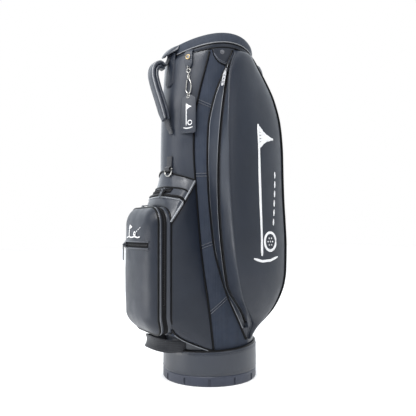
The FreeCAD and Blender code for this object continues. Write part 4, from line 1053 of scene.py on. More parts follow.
def ball_wall_at(s, u):
    """Point of the walls: s 0 side seam top .. 1 underside centre, u 0 box .. 1 tube."""
    station = s * (len(WALL_TABLE) - 1)
    x, z, angle, tube_z = (curve_at(WALL_TABLE, station, k) for k in (1, 2, 3, 4))
    y = -158.5 + tuck(z)
    if s < 0.5:
        y = -158.0 + 1.5 * smooth(0.12, 0.0, s)
    box = np.array([x, y, z])
    tube = around(SKIN + 0.8, angle, tube_z)
    pull = 0.5 * (box + tube)
    side = 1 - smooth(0.45, 0.75, s)
    pull[0] = (max(box[0], tube[0]) + 2.5) * side + pull[0] * (1 - side)
    pull[2] -= 3.0 * (1 - side)
    return (1 - u) ** 2 * box + 2 * u * (1 - u) * pull + u * u * tube


# where the side panel ends and the underside begins: u, s
WALL_SPLIT = [(0.0, 0.53), (0.05, 0.565), (0.13, 0.60), (0.30, 0.632), (0.5, 0.642),
              (0.75, 0.63), (1.0, 0.60)]


def wall_split(u):
    return curve_at(WALL_SPLIT, u)


grid = grid_of(lambda u, v: ball_wall_at(wall_split(u) * v, u),
               linspace(0, 1, 24), linspace(0, 1, 52))
# the side panel uses the darker leather copy: painted shade
both(sheet("ball_side_panel", grid, 2.2, SHADED_LEATHER, out_hint=(1, -0.2, -0.3),
           puff=1.2, roll=4.0, wrinkle=0.9, size=60.0, seed=15), "side_panel")
grid = grid_of(lambda u, v: ball_wall_at(wall_split(u) + (1 - wall_split(u)) * v, u),
               linspace(0, 1, 24), linspace(0, 1, 24))
both(sheet("ball_underside_panel", grid, 2.2, BAND_CLOTH, out_hint=(0.3, -0.5, -1),
           puff=0.6, roll=3.0, wrinkle=0.7, size=40.0, seed=16), None, "ripstop_dark")

# cords on the border between the two panels
border = []
for u in linspace(0.0, 1.0, 60):
    s = wall_split(u)
    back = ball_wall_at(s, min(1.0, u + 0.02)) - ball_wall_at(s, max(0.0, u - 0.02))
    down = ball_wall_at(s + 0.01, u) - ball_wall_at(s - 0.01, u)
    normal = unit(np.cross(back, down))
    if normal @ np.array([1.0, -0.2, -0.3]) < 0:
        normal = -normal
    border.append(ball_wall_at(s, u) + normal * 1.6)
cord("ball_side_border", border, 2.3, GLOSS)
# light cord: painted highlight on the black border piping
cord("ball_side_border_light", [p + np.array([0.7, -0.6, -3.2]) for p in border[4:-2]],
     1.0, PAINTED_HIGHLIGHT)

# cord where the walls meet the tube
line = []
for s in linspace(0.0, 1.0, 80):
    point = ball_wall_at(s, 1.0)
    line.append(point + unit(point * np.array([1, 1, 0])) * 0.8)
cord("side_lower_cord", line, 2.4, GLOSS)

# ------------------------------------ shoulder between ball pocket and front panel
# z, distance to the front at the middle, half width
SHOULDER = [(434, 163.5, 84.0), (441, 163.0, 84.0), (450, 162.0, 83.0), (462, 157.0, 80.0),
            (475, 148.0, 75.0), (488, 142.0, 68.0), (503, 139.5, 60.0), (518, 137.5, 54.0),
            (530, 137.0, 50.0)]
SHOULDER_CROWN = 17.0       # how far its sides fall back from the middle
ARC_START = 0.41            # share of the half width where the box's corner begins


def box_top(c):
    """Point of the ball pocket's rear seam, c 0 centre .. 1 side."""
    a = abs(c)
    x, z = BALL_HALF - BALL_CORNER, BALL_TOP
    if a <= ARC_START:
        x = x * a / ARC_START
    else:
        q = rad(84.0 * (a - ARC_START) / (1 - ARC_START))
        x += BALL_CORNER * math.sin(q)
        z += BALL_CORNER * (math.cos(q) - 1)
    return np.array([math.copysign(x, c), -157.0, z])


def shoulder_ends(c):
    """Lowest and highest z of the shoulder at c."""
    return 434.0 - 36.0 * smooth(0.62, 1.0, abs(c)), 530.0 - 26.0 * abs(c) ** 1.6


def shoulder_crown(x, z, lift=0.0):
    half = curve_at(SHOULDER, z, 2)
    front = curve_at(SHOULDER, z) + lift
    return np.array([x, -(front - SHOULDER_CROWN * (x / half) ** 2), z])


def shoulder_at(c, v):
    """c -1 left .. 1 right, v 0 bottom .. 1 top."""
    low, top = shoulder_ends(c)
    z = low + (top - low) * v
    # the centre follows the crown, the outer part turns back to the side seam
    centre = shoulder_crown(curve_at(SHOULDER, z, 2) * min(1.0, abs(c) / 0.72), z)
    edge = ball_wall_at(0.0, min(1.0, max(0.0, (z - 398.0) / 102.0)))
    edge[0] += 0.8
    edge[2] = z
    if z > 502:
        angle = 41.5 * (max(0.0, (530.0 - z) / 26.0)) ** (1 / 1.6)
        edge = around(SKIN + 0.8 + front_swell(angle, 508), angle, z)
    outer = smooth(0.45, 1.0, abs(c))
    point = centre * (1 - outer) + edge * outer
    if c < 0:
        point[0] *= -1
    # the lowest part bends onto the box's rear seam
    free = smooth(0.0, 0.3, v)
    return point * free + box_top(c) * (1 - free)


grid = grid_of(shoulder_at, linspace(-1, 1, 61), linspace(0, 1, 30))
done(sheet("shoulder_leather", grid, 2.2, LEATHER, out_hint=(0, -1, 0.3),
           puff=1.0, roll=4.0, wrinkle=0.6, size=50.0, seed=17),
     "leather_black", "valuables_pocket")
for name, v, lift in (("shoulder_top_piping", 1.0, (0, -1.6, 0.5)),
                      ("shoulder_low_piping", 0.0, (0, -1.5, 0.8))):
    line = [shoulder_at(c, v) + np.array(lift) for c in linspace(-1, 1, 60)]
    cord(name, line, 2.0, GLOSS, mirror=False)
# the light cord along the V seam is a painted highlight; the black binding beside it is piping
for name, lift, radius, mat in (("shoulder_side_piping", (1.2, -2.2, 1.4), 2.9, PAINTED_HIGHLIGHT),
                                ("shoulder_side_binding", (2.3, -0.2, -2.6), 2.0, GLOSS)):
    line = [ball_wall_at(0.0, u) + np.array(lift) for u in linspace(0, 1, 40)]
    cord(name, line, radius, mat)


def shoulder_line(height, lift):
    """Line across the shoulder, given by its height at the middle."""
    line = []
    for c in linspace(-0.985, 0.985, 70):
        low, top = shoulder_ends(c)
        v = (height - 24.0 * abs(c) ** 3 - low) / (top - low)
        point = shoulder_at(c, v)
        up = point - shoulder_at(c, v - 0.03)
        across = shoulder_at(min(1, c + 0.02), v) - shoulder_at(c - 0.02, v)
        normal = unit(np.cross(across, up))
        if normal[1] > 0:
            normal = -normal
        line.append(point + normal * lift)
    return line


for name, height, lift, radius, mat in (("valuables_upper_welt", 488.0, 1.6, 2.0, GLOSS),
                                        ("valuables_lower_welt", 467.5, 2.2, 3.1, GLOSS),
                                        # light cord: painted highlight under the lower welt
                                        ("valuables_light_cord", 462.0, 1.9, 1.5, PAINTED_HIGHLIGHT)):
    cord(name, shoulder_line(height, lift), radius, mat, mirror=False)

# ------------------------------------------------------------------ base band
BASE_LOW = 25.6
BASE_TOP = 86.8      # mean height of its sloping upper edge
BASE_SLOPE = 2.6     # degrees, rising towards the rear


def base_top(angle):
    return BASE_TOP - 121.0 * math.cos(rad(angle)) * math.tan(rad(BASE_SLOPE))


def base_place(angle, radius, share):
    z = BASE_LOW + (base_top(angle) - BASE_LOW) * share
    return around(radius + 0.25 * math.sin(rad(angle * 3)), angle, z)


# radius, share of the band's height
BASE_PROFILE = [(121.2, 0.0), (122.2, 0.06), (122.4, 0.2), (122.2, 0.5), (121.9, 0.8),
                (121.6, 0.94), (120.0, 1.0), (116.2, 0.97), (116.2, 0.03)]
done(lathe("base_band_leather", BASE_PROFILE, 96, base_place, LEATHER),
     "leather_black", "base_band")
angles = linspace(0, 360.0, 161)
normals = [around(1, a, 0) for a in angles]
lower = [around(122.2, a, 31.0) for a in angles]
upper = [around(122.1, a, base_top(a) - 6.5) for a in angles]
parts = [stitches("part", line, normals, pitch=4.6, radius=0.36) for line in (lower, upper)]
done(merge("base_band_stitches", parts), "leather_black")


# ------------------------------------------------------------------ rim group
def rim_ring(name, profile, mat, slot, node, wobble):
    """Ring that follows the rim; profile points are (radius, height over the rim line)."""
    def place(angle, radius, rise):
        a = rad(angle)
        w = wobble * noise.noise(Vector((math.sin(a) * 3, math.cos(a) * 3, rise * 0.05)))
        return around(radius + w, angle, arch_round(angle) + rise)

    done(lathe(name, profile, 128, place, mat), slot, node)


RIM_PROFILE = [
    (111.0, -24.3), (113.6, -24.5), (114.6, -22.0), (115.3, -15.0), (115.2, -8.0),
    (114.4, -3.2), (112.6, -0.6), (110.2, 0.1), (106.5, 0.0), (103.6, -0.9), (102.2, -3.4),
    (102.0, -5.4), (103.9, -5.6), (104.2, -3.6), (110.4, -3.3), (111.0, -6.0)]
COLLAR_PROFILE = [(111.0, -38.5), (113.8, -38.8), (115.0, -36.5), (115.4, -31.0),
                  (114.9, -26.4), (113.6, -24.6), (111.0, -24.8)]
rim_ring("rim_padded_cover", RIM_PROFILE, RIM_CLOTH, "rim_fabric", "rim_cover", wobble=0.4)
# the collar uses the darker leather copy, whose colour is painted shade
rim_ring("collar_leather", COLLAR_PROFILE, SHADED_LEATHER, "leather_black", "collar_band", wobble=0.3)
# name, radius of the ring, height at the middle, radius of the cord, material
for name, ring, low, radius, mat in (
        # grey cord: painted highlight on the seam between rim and collar
        ("rim_piping", 115.2, RIM_LOW - 24.9, 1.5, GREY),
        ("rim_piping_dark", 115.4, RIM_LOW - 27.6, 1.5, GLOSS),
        ("collar_low_piping", 114.9, COLLAR_LOW - 0.8, 1.6, GLOSS)):
    line = [around(ring, a, arch_round(a, low)) for a in turn(140)]
    done(sweep(name, line, circle(radius, 8), mat, closed=True), "piping_black")

# grab lip: padded tongue on the front of the rim; section at its middle: y, z
LIP = [(-112.0, 842.0), (-118.0, 841.0), (-126.0, 834.5), (-133.0, 826.8), (-137.2, 825.6),
       (-138.4, 829.0), (-131.0, 840.5), (-121.5, 850.5), (-112.0, 853.6)]
LIP_HALF = 37.0
LIP_ROOT = 115.3     # radius at which the lip leaves the rim
verts = []
for u in linspace(-1, 1, 21):
    x = LIP_HALF * u
    full = 1 - abs(u) ** 3.2
    root = -math.sqrt(LIP_ROOT ** 2 - x * x)
    for y, z in LIP:
        verts.append((x, root + (y + LIP_ROOT) * (0.14 + 0.86 * full),
                      848.0 + (z - 848.0) * (0.45 + 0.55 * full) + 24.5 * (x / 114.0) ** 2))
faces = flipped(quads(21, len(LIP), wrap_cols=True))
faces.append(tuple(range(len(LIP))))
faces.append(tuple(range(20 * len(LIP), 21 * len(LIP)))[::-1])
lip = solid("rim_grab_lip", np.array(verts), faces, LEATHER)
rounding = lip.modifiers.new("sub", "SUBSURF")
rounding.levels = rounding.render_levels = 2
done(lip, "rim_plastic", "rim_lip")

# ---------------------------------------------------------------- carry handle
HANDLE_KNOTS = [(0, -136, 799), (0, -150, 803), (1, -162, 794), (4, -166.5, 774),
                (10, -162, 744), (18, -153.5, 708), (25, -147, 677), (30, -144, 657)]
HANDLE = spline(HANDLE_KNOTS, 60)
HANDLE_OUT = frames_along(HANDLE, up=(1, 0, 0))[2]       # away from the bag
HANDLE_TAPER = np.array([0.72 + 0.28 * min(1.0, min(i, 59 - i) / 9.0) for i in range(60)])


def pad_section(half_thick, half_width=14.6):
    points = []
    for x, y in circle(1.0, 16):
        points.append((math.copysign(half_thick * abs(y) ** 0.62, y),
                       math.copysign(half_width * abs(x) ** 0.55, x)))
    return points


def handle_line(trim, out, side, side_taper):
    """Line beside the handle's centre, cut by trim points at both ends."""
    part = slice(trim, -trim)
    taper = HANDLE_TAPER[part, None]
    sideways = np.array([side, 0, 0]) * (taper if side_taper else 1.0)
    return HANDLE[part] + HANDLE_OUT[part] * out * taper + sideways


for name, offset, half_thick, nodes in (("outer", 5.0, 5.4, ["carry_handle"]),
                                        ("inner", -4.4, 5.0, [])):
    pad = sweep("handle_pad_" + name, HANDLE + HANDLE_OUT * offset, pad_section(half_thick),
                LEATHER, up=(1, 0, 0), scale=HANDLE_TAPER)
    done(pad, "leather_black", *nodes, body="handle")
for side, name in ((-1, "left"), (1, "right")):
    line = handle_line(2, 8.6, side * 12.9, side_taper=True)
    done(sweep("handle_cord_" + name, line, circle(1.7, 8), GREY),
         "piping_black", body="handle")
for side, name in ((-1, "left"), (1, "right")):
    line = handle_line(4, 10.7, side * 8.2, side_taper=False)
    done(stitches("handle_stitch_" + name, line, HANDLE_OUT[4:-4], radius=0.36),
         "leather_black", body="handle")

# webbing anchors from the panel to the handle's ends: name, root and end as x, y, z, width
for name, (x0, y0, z0), (x1, y1, z1), width in (
        ("top", (0.0, -121.6, 826.0), (0.0, -133.0, 803.0), 22.0),
        ("bottom", (33.5, -131.0, 622.0), (30.0, -144.0, 656.0), 17.0)):
    line = spline([(x0, y0, z0), (x0, y0 - 2.5, 0.75 * z0 + 0.25 * z1),
                   (0.5 * (x0 + x1), 0.4 * y0 + 0.6 * y1, 0.4 * z0 + 0.6 * z1),
                   (x1, y1, z1)], 14)
    anchor = sweep("handle_anchor_" + name, line, slab(width, 3.4, 1.4), WEBBING,
                   up=(0, -1, 0.2))
    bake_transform(anchor)
    if name == "top":
        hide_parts("handle_anchors")

# round-ended tongue stitched on the front panel
TONGUE_LOW, TONGUE_TOP = 744.0, 836.0
TONGUE_HALF = 17.0


def tongue_at(u, v, lift):
    z = TONGUE_LOW + (TONGUE_TOP - TONGUE_LOW) * v
    short = max(0.0, TONGUE_HALF - (z - TONGUE_LOW))
    half = math.sqrt(max(0.0, TONGUE_HALF ** 2 - short ** 2))
    angle = math.degrees(math.asin((12.0 + max(half, 0.6) * u) / 120.0))
    return around(SKIN + front_swell(angle, z) + lift, angle, z)


grid = grid_of(lambda u, v: tongue_at(u, v, 3.1), linspace(-1, 1, 15),
               linspace(0.01, 0.985, 34))
# the tongue uses the darker leather copy, whose colour is painted shade
done(sheet("handle_tongue", grid, 2.2, SHADED_LEATHER, out_hint=(0, -1, 0), puff=1.0, roll=2.5),
     "leather_black")
# down the left edge, round the end and up the right edge
edge = ([(-0.8, v) for v in linspace(0.97, 0.16, 22)]
        + [(0.8 * math.cos(a), 0.16 - 0.12 * math.sin(a)) for a in linspace(math.pi, 0, 9)[1:-1]]
        + [(0.8, v) for v in linspace(0.16, 0.97, 22)])
done(stitches("handle_tongue_stitch", [tongue_at(u, v, 4.2) for u, v in edge],
              [unit(tongue_at(u, v, 10.0) - tongue_at(u, v, 0.0)) for u, v in edge],
              radius=0.4), "leather_black")

# ----------------------------------------------------------------- D-ring tab
# loop of webbing: distance from the axis, z
D_RING_ANGLE = 12
D_RING_LOOP = [(135.2, 566), (136.3, 552), (137.2, 541), (141.0, 538.2), (144.6, 535.0),
               (143.8, 530.6), (140.0, 528.6), (137.0, 531.5), (136.0, 540)]
line = [around(radius, D_RING_ANGLE, z) for radius, z in spline(D_RING_LOOP, 40)]
done(sweep("d_ring_webbing", line, [(b, a) for a, b in slab(20.0, 1.6, 0.7)], WEBBING,
           up=tangent(D_RING_ANGLE)), "webbing_black", "d_ring_tab")


# -------------------------------------------------------------- lower strap
def strap_at(u, v):
    """Strap bowed out under the ball pocket: u -1 left .. 1 right, v 0 low edge .. 1 high."""
    bow = 1 - abs(u) ** 2.4
    tip = abs(u) ** 4
    front = 88.0 + 89.0 * bow + 3.0 * (1 - v) - 5.0 * math.sin(math.pi * v) * bow
    z = (66.0 + 20.0 * tip + (38.0 - 14.0 * tip) * v * (1 - 0.22 * bow) + 24.0 * bow ** 1.6)
    return np.array([56.0 * math.sin(rad(90.0 * u)), -front, z])


def finish_strap(piece):
    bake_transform(piece)


grid = grid_of(strap_at, linspace(-1, 1, 61), linspace(0, 1, 9))
padding = dict(out_hint=(0, -1, 0), puff=0.5, roll=1.5, wrinkle=0.5, size=40)
strap = sheet("grab_strap_webbing", grid, 2.2, WEBBING, **padding)
finish_strap(strap)
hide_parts("grab_strap")
outer, normals = cover(grid, **padding)
parts = [stitches("part", outer[row], normals[row], radius=0.36) for row in (1, 7)]
finish_strap(merge("grab_strap_stitches", parts))

# ------------------------------------------------------------ tag and badge
TAG_ANGLE = 35.0
TAG_ALONG = tangent(TAG_ANGLE)
TAG_OUT = around(1, TAG_ANGLE, 0)
TAG_FACE = 126.15     # distance out at which the tag's motif lies


def tag_point(along, out, z):
    return TAG_ALONG * along + TAG_OUT * out + UP * z


def plate(name, outline, back, front, mat, bevel=0.7):
    """Flat piece with rounded edges, its outline in along, z."""
    centre = np.mean(outline, 0)
    count = len(outline)
    rings = ((-bevel, back), (0, back + bevel * 0.7), (0, front - bevel * 0.7),
             (-bevel * 0.5, front - bevel * 0.2), (-bevel * 1.4, front))
    verts = []
    for grow, out in rings:
        for i, p in enumerate(outline):
            a, b = outline[i - 1], outline[(i + 1) % count]
            ahead = np.array([b[0] - a[0], b[1] - a[1]])
            ahead = ahead / (np.linalg.norm(ahead) + 1e-9)
            side = np.array([ahead[1], -ahead[0]])
            if side @ (np.array(p) - centre) < 0:
                side = -side
            verts.append(tag_point(p[0] + side[0] * grow, out, p[1] + side[1] * grow))
    faces = quads(len(rings), count, wrap_cols=True)
    faces.append(tuple(range(count))[::-1])
    faces.append(tuple(range(len(verts) - count, len(verts))))
    return solid(name, np.array(verts), faces, mat)


def small_ring(name, radius, out, z, mat):
    line = [tag_point(radius * math.cos(a), out, z + radius * math.sin(a))
            for a in linspace(0, 2 * math.pi, 25)[:-1]]
    return sweep(name, line, circle(0.9, 8), mat, up=TAG_OUT, closed=True)


# outlines: along, z
TAG_OUTLINE = [(20.8, 625), (20.8, 706), (19, 709), (8, 716.2), (5, 717), (-5, 717),
               (-8, 716.2), (-19, 709), (-20.8, 706), (-20.8, 625), (-17, 621.4), (17, 621.4)]
BADGE_OUTLINE = [(10.8, 797), (10.8, 823), (8, 826), (-8, 826), (-10.8, 823), (-10.8, 797),
                 (-6.5, 788), (-4, 786.6), (4, 786.6), (6.5, 788)]

done(plate("name_tag_leather", TAG_OUTLINE, 122.9, 125.9, LEATHER),
     "leather_black", "name_tag", body="tag")
line = [tag_point(a, 126.0, z) for a, z in rounded_rect(18.0, 624.5, 707.0, 4.0, 5)]
done(stitches("name_tag_stitches", line + line[:1], TAG_OUT,
              pitch=3.4, length=2.3, radius=0.3), "leather_black", body="tag")
done(small_ring("name_tag_eyelet", 3.6, 126.1, 712.4, NICKEL), "metal_silver", body="tag")


# -------------------------------------------------------- embroidered motifs
def embroider(name, surface, strokes):
    """Satin-stitched cords: strokes are (width, thickness, step, points on the surface)."""
    parts = []
    for width, thick, step, points in strokes:
        placed = [surface(a, z) for a, z in points]
        line, normals = resample_pair([p for p, _ in placed], [n for _, n in placed], step)
        last = len(line) - 1
        scale = [0.55 + 0.45 * min(1.0, min(i, last - i) / 2.0) for i in range(last + 1)]
        parts.append(sweep("part", line, circle(width / 2, 10, thick / width * 2), MOTIF,
                           up=normals, scale=scale))
    return merge(name, parts)


def loop_points(x, z, radius, count):
    return [(x + radius * math.cos(a), z + radius * math.sin(a))
            for a in linspace(0, 2 * math.pi, count + 1)]


def on_tag(along, z):
    return tag_point(along, TAG_FACE, z), TAG_OUT


# flag on a pole, a ball and the ground
strokes = [(2.6, 1.0, 2.5, [(-5, 640), (-5, 696)])]
for k in range(5):
    tip = (9 - abs(k - 2) * 4.4, 687.2 + (2 - k) * 1.2)
    strokes.append((3.6, 1.0, 2.5, [(-4, 694 - k * 3.4), tip]))
strokes.append((2.6, 1.0, 2.5, loop_points(5, 647, 5.5, 28)))
strokes.append((2.6, 1.0, 2.5, [(-13, 635), (-5, 633), (5, 633.5), (13, 636)]))
done(embroider("name_tag_motif", on_tag, strokes), "leather_black", body="tag")

done(plate("badge_strap_leather", BADGE_OUTLINE, 122.8, 125.6, LEATHER),
     "leather_black", "badge_strap")
root = spline([tag_point(0, out, z) for out, z in ((113.0, 836), (119.5, 829), (123.6, 822),
                                                   (124.0, 812))], 12)
done(sweep("badge_strap_root", root, slab(20.0, 2.2, 0.9), LEATHER, up=TAG_OUT),
     "leather_black")
done(small_ring("badge_ring", 5.2, 128.2, 812, GOLD), "metal_silver")


def on_pocket(along, z):
    _, front, rear = face_sizes(z)
    return face_at((along - 0.5 * (front + rear)) / (0.5 * (rear - front)), z, 2.0), OUT


# apparel pocket: flag on a tall pole, a dimpled ball, its flight and the ground
MIDDLE = 6.0           # along
POLE = MIDDLE - 12
FLAG_TOP, FLAG_STEP = 634, 8.5
BALL_X, BALL_Z = MIDDLE + 20, 352
strokes = [(8.0, 2.0, 5, [(POLE, 318), (POLE, 640)])]
for k in range(7):
    tip = (MIDDLE + 46 - abs(k - 3) * 12.5, FLAG_TOP - 3 * FLAG_STEP + (3 - k) * 2.4)
    strokes.append((9.0, 2.0, 6, [(MIDDLE - 9, FLAG_TOP - k * FLAG_STEP), tip]))
strokes.append((6.5, 2.0, 4, loop_points(BALL_X, BALL_Z, 22, 40)))
for a, b in ((0, 0), (9, 0), (-9, 0), (4.5, 8), (-4.5, 8), (4.5, -8), (-4.5, -8)):
    strokes.append((2.4, 1.6, 2, loop_points(BALL_X + a, BALL_Z + b, 1.3, 8)))
flight = [(MIDDLE + 34 + 16 * math.sin(q), 392 + 150 * q / 1.6) for q in linspace(0, 1.6, 20)]
for k in range(0, 18, 3):
    strokes.append((5.0, 1.8, 4, flight[k:k + 3]))
strokes.append((6.0, 2.0, 5, [(MIDDLE - 40, 312), (POLE, 305), (BALL_X, 306),
                              (MIDDLE + 50, 314)]))
both(embroider("pocket_motif", on_pocket, strokes))


def on_ball_pocket(x, z):
    return ball_at(x / outline_half(z), z, 1.7), np.array([0, -1.0, 0])


# ball pocket: the ground, a pole, a ball, the flag and the flight
strokes = [(3.4, 1.3, 2.5, [(-42, 361), (-26, 364), (-8, 362), (12, 364.5), (30, 362),
                            (42, 364)]),
           (3.2, 1.3, 2.5, [(-24, 364), (-24, 394)]),
           (3.4, 1.3, 2.0, loop_points(12, 371.5, 4.6, 20))]
for k in range(4):
    tip = (-6 - abs(k - 1.5) * 5, 388.2 + (1.5 - k) * 1.0)
    strokes.append((3.2, 1.3, 2.5, [(-23, 392.5 - k * 2.9), tip]))
for k in range(3):
    strokes.append((2.8, 1.2, 2.0, [(22 + k * 8, 376 + k * 4.4), (26 + k * 8, 378.5 + k * 4.2)]))
done(embroider("ball_pocket_motif", on_ball_pocket, strokes), "leather_black")


# ------------------------------------------------------- zippers on the front
def middle_height(node):
    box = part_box(node)
    return (box[0].z + box[1].z) * 500


# zipper on the ball pocket's face
height = middle_height("ball_face_zipper")
grid = grid_of(lambda x, dz: ball_at(x / 89.5, height + dz, 2.1),
               linspace(-72, 72, 40), (-6.5, -4, -2, 0, 2, 4, 6.5))
done(sheet("face_zip_tape", grid, 1.4, TAPE, out_hint=(0, -1, 0)),
     "zipper_tape", "ball_face_zipper")
done(teeth("face_zip_teeth", grid[3] + np.array([0, -0.3, 0]), (0, -1.0, 0), (0, 0, 1.0)),
     "zipper_tape")
for name, dz in (("top", 8.0), ("low", -8.0)):
    line = [ball_at(x / 89.5, height + dz, 2.0) for x in linspace(-74, 74, 40)]
    done(sweep("face_zip_welt_" + name, line, circle(1.9, 8), LEATHER), "leather_black")

# zipper of the valuables pocket on the shoulder
height = middle_height("valuables_zipper")
grid = grid_of(lambda x, dz: shoulder_crown(x, height + dz, 2.4),
               linspace(-54, 54, 30), (-6, -4, -2, 0, 2, 4, 6))
done(sheet("valuables_zip_tape", grid, 1.6, TAPE, out_hint=(0, -1, 0)),
     "zipper_tape", "valuables_zipper")
done(teeth("valuables_zip_teeth", grid[3] + np.array([0, -0.2, 0.1]), (0, -0.9, 0.4),
           (0, 0.4, 0.9)), "zipper_tape")

# ------------------------------------------------- inside: dividers, lining, pad
CROSS_Y = 34.0            # the two cross sheets lie at y = -34 and 34
DIVIDER_RADIUS = 95.5
DIVIDER_LOW = 14.0
DIVIDER_DROP = 25.2       # from the rim line to the dividers' upper edge
DIVIDER_GAP = 1.4         # between the middle sheets and the cross sheets


def soft_wall(name, start, end, seed, slack):
    """Full-length cloth sheet between two points of the plan, slack along its length."""
    start, end = np.array(start), np.array(end)
    ahead = unit(end - start)
    normal = np.array([-ahead[1], ahead[0]])

    def place(t, share):
        spot = start + (end - start) * t
        top = arch(spot[0]) - DIVIDER_DROP
        z = DIVIDER_LOW + (top - DIVIDER_LOW) * share
        loose = (math.sin(math.pi * t) * smooth(0.0, 120.0, top - z)
                 * smooth(0.0, 60.0, z - 12.0))
        wave = (0.55 * math.sin(z * 0.011 + seed)
                + 0.8 * noise.noise(Vector((t * 2.2, z * 0.013, seed * 3.1))))
        return (*(spot + normal * (slack * loose * wave)), z)

    grid = grid_of(place, linspace(0, 1, 18), linspace(0, 1, 60))
    return sheet(name, grid, 1.5, LINING, out_hint=(*normal, 0), puff=0.2, roll=3.0)


CROSS_X = math.sqrt(DIVIDER_RADIUS ** 2 - CROSS_Y ** 2)
# name, start and end as x, y, slack
DIVIDERS = [
    ("fore", (0, -DIVIDER_RADIUS), (0, -CROSS_Y - DIVIDER_GAP), 4.0),
    ("mid", (0, -CROSS_Y + DIVIDER_GAP), (0, CROSS_Y - DIVIDER_GAP), 4.0),
    ("aft", (0, CROSS_Y + DIVIDER_GAP), (0, DIVIDER_RADIUS), 4.0),
    ("cross_fore", (-CROSS_X, -CROSS_Y), (CROSS_X, -CROSS_Y), 5.0),
    ("cross_aft", (-CROSS_X, CROSS_Y), (CROSS_X, CROSS_Y), 5.0)]
for k, (name, start, end, slack) in enumerate(DIVIDERS):
    done(soft_wall("divider_cloth_" + name, start, end, k + 1, slack),
         "lining_fabric", *(["divider_sheets"] if k == 0 else []))

# lining of the tube, drawn in at four upright lines
LINING_TUCKS = (62, 118, 242, 298)
verts = []
for angle in turn(240):
    top = arch_round(angle, RIM_LOW, 105.0) - 28.2
    a = rad(angle)
    for z in (12.5, *linspace(30.0, 800.0, 44), top):
        w = 1.3 * noise.noise(Vector((math.sin(a) * 4, math.cos(a) * 4, z * 0.008)))
        w *= smooth(0, 80, top - z) * smooth(0, 40, z - 12)
        drawn = sum(math.exp(-((angle - c) / 2.3) ** 2) for c in LINING_TUCKS)
        drawn *= smooth(845, 815, z)
        verts.append(around(103.9 + w * (1 - drawn) - 5.7 * drawn, angle, z))
lining = solid("lining_cloth", np.array(verts), flipped(quads(240, 46, wrap_rows=True)), LINING)
thickness = lining.modifiers.new("thick", "SOLIDIFY")
thickness.thickness = 0.0009
thickness.offset = 0.0
done(lining, "lining_fabric", "inner_lining")


def pad_place(angle, radius, z):
    """The pad's upper side is slightly uneven."""
    if z > 11 and radius > 1:
        x, y = radius * 0.05 * math.sin(rad(angle)), radius * 0.05 * math.cos(rad(angle))
        z = z + 0.5 * noise.noise(Vector((x, y, 3.0)))
    return around(radius, angle, z)


# radius, z
PAD_PROFILE = [(0.3, 12.4), (25, 12.6), (60, 12.3), (95, 12.5), (101.5, 12.1), (103.8, 10.6),
               (104.0, 8.6), (102.5, 7.5), (0.3, 7.5)]
done(lathe("bottom_felt_pad", PAD_PROFILE, 96, pad_place, LINING), "pad_rubber", "bottom_pad")

# ------------------------------------------------------- CAD nodes' materials
NODE_MATERIALS = {
    "base_foot": FOOT, "base_piping": GLOSS, "base_rivets": GUNMETAL, "bottom_pad": LINING,
    "tube_shell": BOARD, "inner_lining": LINING, "support_stays": NICKEL,
    "divider_sheets": LINING, "divider_frame": RIM_CLOTH, "rim_frame": RIM_PLASTIC,
    "hood_snaps": GUNMETAL, "d_ring": NICKEL, "tag_ring": NICKEL, "tag_link": NICKEL,
    "snap_hook": NICKEL, "hook_gate": NICKEL, "badge_stud": GUNMETAL}


def node_material(name):
    if name in NODE_MATERIALS:
        return NODE_MATERIALS[name]
    if name.endswith("_puller") and name.startswith("front_zip"):
        return PULLER
    if name.endswith(("_slider", "_puller")):
        return GUNMETAL
    return None


for name, node in frame["nodes"].items():
    mat = node_material(name)
    if mat is not None:
        slots = node.data.materials
        if not slots:
            slots.append(mat)
        for k in range(len(slots)):
            slots[k] = mat

# ------------------------------------------------------------- stage and light
pale = Mat("floor_pale")
pale.put("Base Color", pale.ramp(pale.noise(scale=3.0), (0.76, 0.76, 0.76), (0.80, 0.80, 0.80)))
pale.put("Roughness", 0.7)
pale.put("Specular IOR Level", 0.1)
pale.put("Emission Color", (1.0, 1.0, 1.0))
pale.put("Emission Strength", 0.42)
REACH = 9000.0
new_mesh("floor", [(-REACH, -REACH, 0), (REACH, -REACH, 0), (REACH, REACH, 0),
                            (-REACH, REACH, 0)], [(0, 1, 2, 3)], pale.material, False)


def build_world():
    """White to the camera; as light, a bluish glow that is stronger on one side."""
    world = bpy.data.worlds.new("studio")
    bpy.context.scene.world = world
    world.use_nodes = True
    nodes, link = world.node_tree.nodes, world.node_tree.links.new
    backdrop = nodes["Background"]
    backdrop.inputs["Color"].default_value = (1, 1, 1, 1)
    backdrop.inputs["Strength"].default_value = 1.0
    glow = nodes.new("ShaderNodeBackground")
    glow.inputs["Color"].default_value = (0.90, 0.95, 1.0, 1)
    position = nodes.new("ShaderNodeTexCoord")
    facing = nodes.new("ShaderNodeVectorMath")
    facing.operation = "DOT_PRODUCT"
    facing.inputs[1].default_value = (0.866, -0.5, -0.15)     # the dim side
    link(position.outputs["Generated"], facing.inputs[0])
    strength = nodes.new("ShaderNodeMapRange")
    for key, value in (("From Min", -0.85), ("From Max", 0.32), ("To Min", 2.0),
                       ("To Max", 0.20)):
        strength.inputs[key].default_value = value
    link(facing.outputs["Value"], strength.inputs["Value"])
    link(strength.outputs[0], glow.inputs["Strength"])
    path = nodes.new("ShaderNodeLightPath")
    mix = nodes.new("ShaderNodeMixShader")
    link(path.outputs["Is Camera Ray"], mix.inputs[0])
    link(glow.outputs[0], mix.inputs[1])
    link(backdrop.outputs[0], mix.inputs[2])
    link(mix.outputs[0], nodes["World Output"].inputs[0])


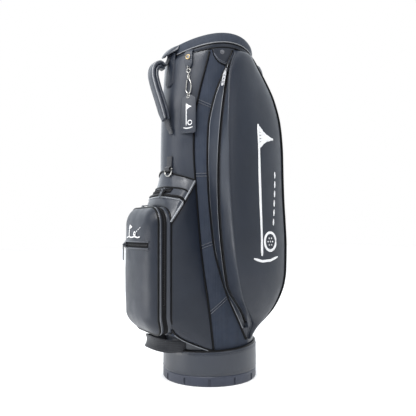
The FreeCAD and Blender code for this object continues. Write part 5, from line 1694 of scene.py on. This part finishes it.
def area(name, place, target, size, watts):
    """Rectangular light; place, target and size in metres."""
    light = bpy.data.lights.new(name, "AREA")
    light.energy = watts
    light.shape = "RECTANGLE"
    light.size, light.size_y = size
    lamp = bpy.data.objects.new(name, light)
    bpy.context.scene.collection.objects.link(lamp)
    lamp.location = place
    aim = Vector(target) - Vector(place)
    lamp.rotation_euler = aim.to_track_quat("-Z", "Y").to_euler()


build_world()
area("key", place=(0.2, -2.2, 1.8), target=(0, 0, 0.45), size=(1.2, 1.6), watts=22)
area("fill", place=(2.4, 0.6, 1.5), target=(0, 0, 0.45), size=(1.4, 1.6), watts=14)
area("top", place=(0.9, -0.9, 2.2), target=(0, 0, 0.75), size=(1.0, 1.0), watts=24)
area("upper", place=(0.85, -0.95, 1.50), target=(0.05, -0.05, 0.84), size=(0.4, 0.4), watts=7.0)
area("low_left", place=(-0.35, -1.35, 0.12), target=(-0.02, -0.2, 0.2), size=(0.7, 0.35),
     watts=5.0)

# ------------------------------------------------------------------ camera
CAMERA_ANGLE = rad(60.0)       # round the bag from the front towards +X
CAMERA_DISTANCE = 1.420        # m from the axis
CAMERA_HEIGHT = 0.379          # m
CAMERA_YAW = 0.0028301811      # rad, turned left of the axis
CAMERA_PITCH = 0.0426156926    # rad, tilted up

lens = bpy.data.cameras.new("camera")
lens.lens = 45.865384615
lens.sensor_width = 36.0
camera = bpy.data.objects.new("camera", lens)
bpy.context.scene.collection.objects.link(camera)
sin_angle, cos_angle = math.sin(CAMERA_ANGLE), math.cos(CAMERA_ANGLE)
camera.location = (CAMERA_DISTANCE * sin_angle, -CAMERA_DISTANCE * cos_angle, CAMERA_HEIGHT)
view = Vector((-sin_angle, cos_angle, 0))
right = Vector((cos_angle, sin_angle, 0))
view = (view * math.cos(CAMERA_YAW) - right * math.sin(CAMERA_YAW)).normalized()
aim = view * math.cos(CAMERA_PITCH) + Vector((0, 0, 1)) * math.sin(CAMERA_PITCH)
camera.rotation_euler = aim.to_track_quat("-Z", "Y").to_euler()
bpy.context.scene.camera = camera
bpy.context.scene.view_settings.view_transform = "Standard"
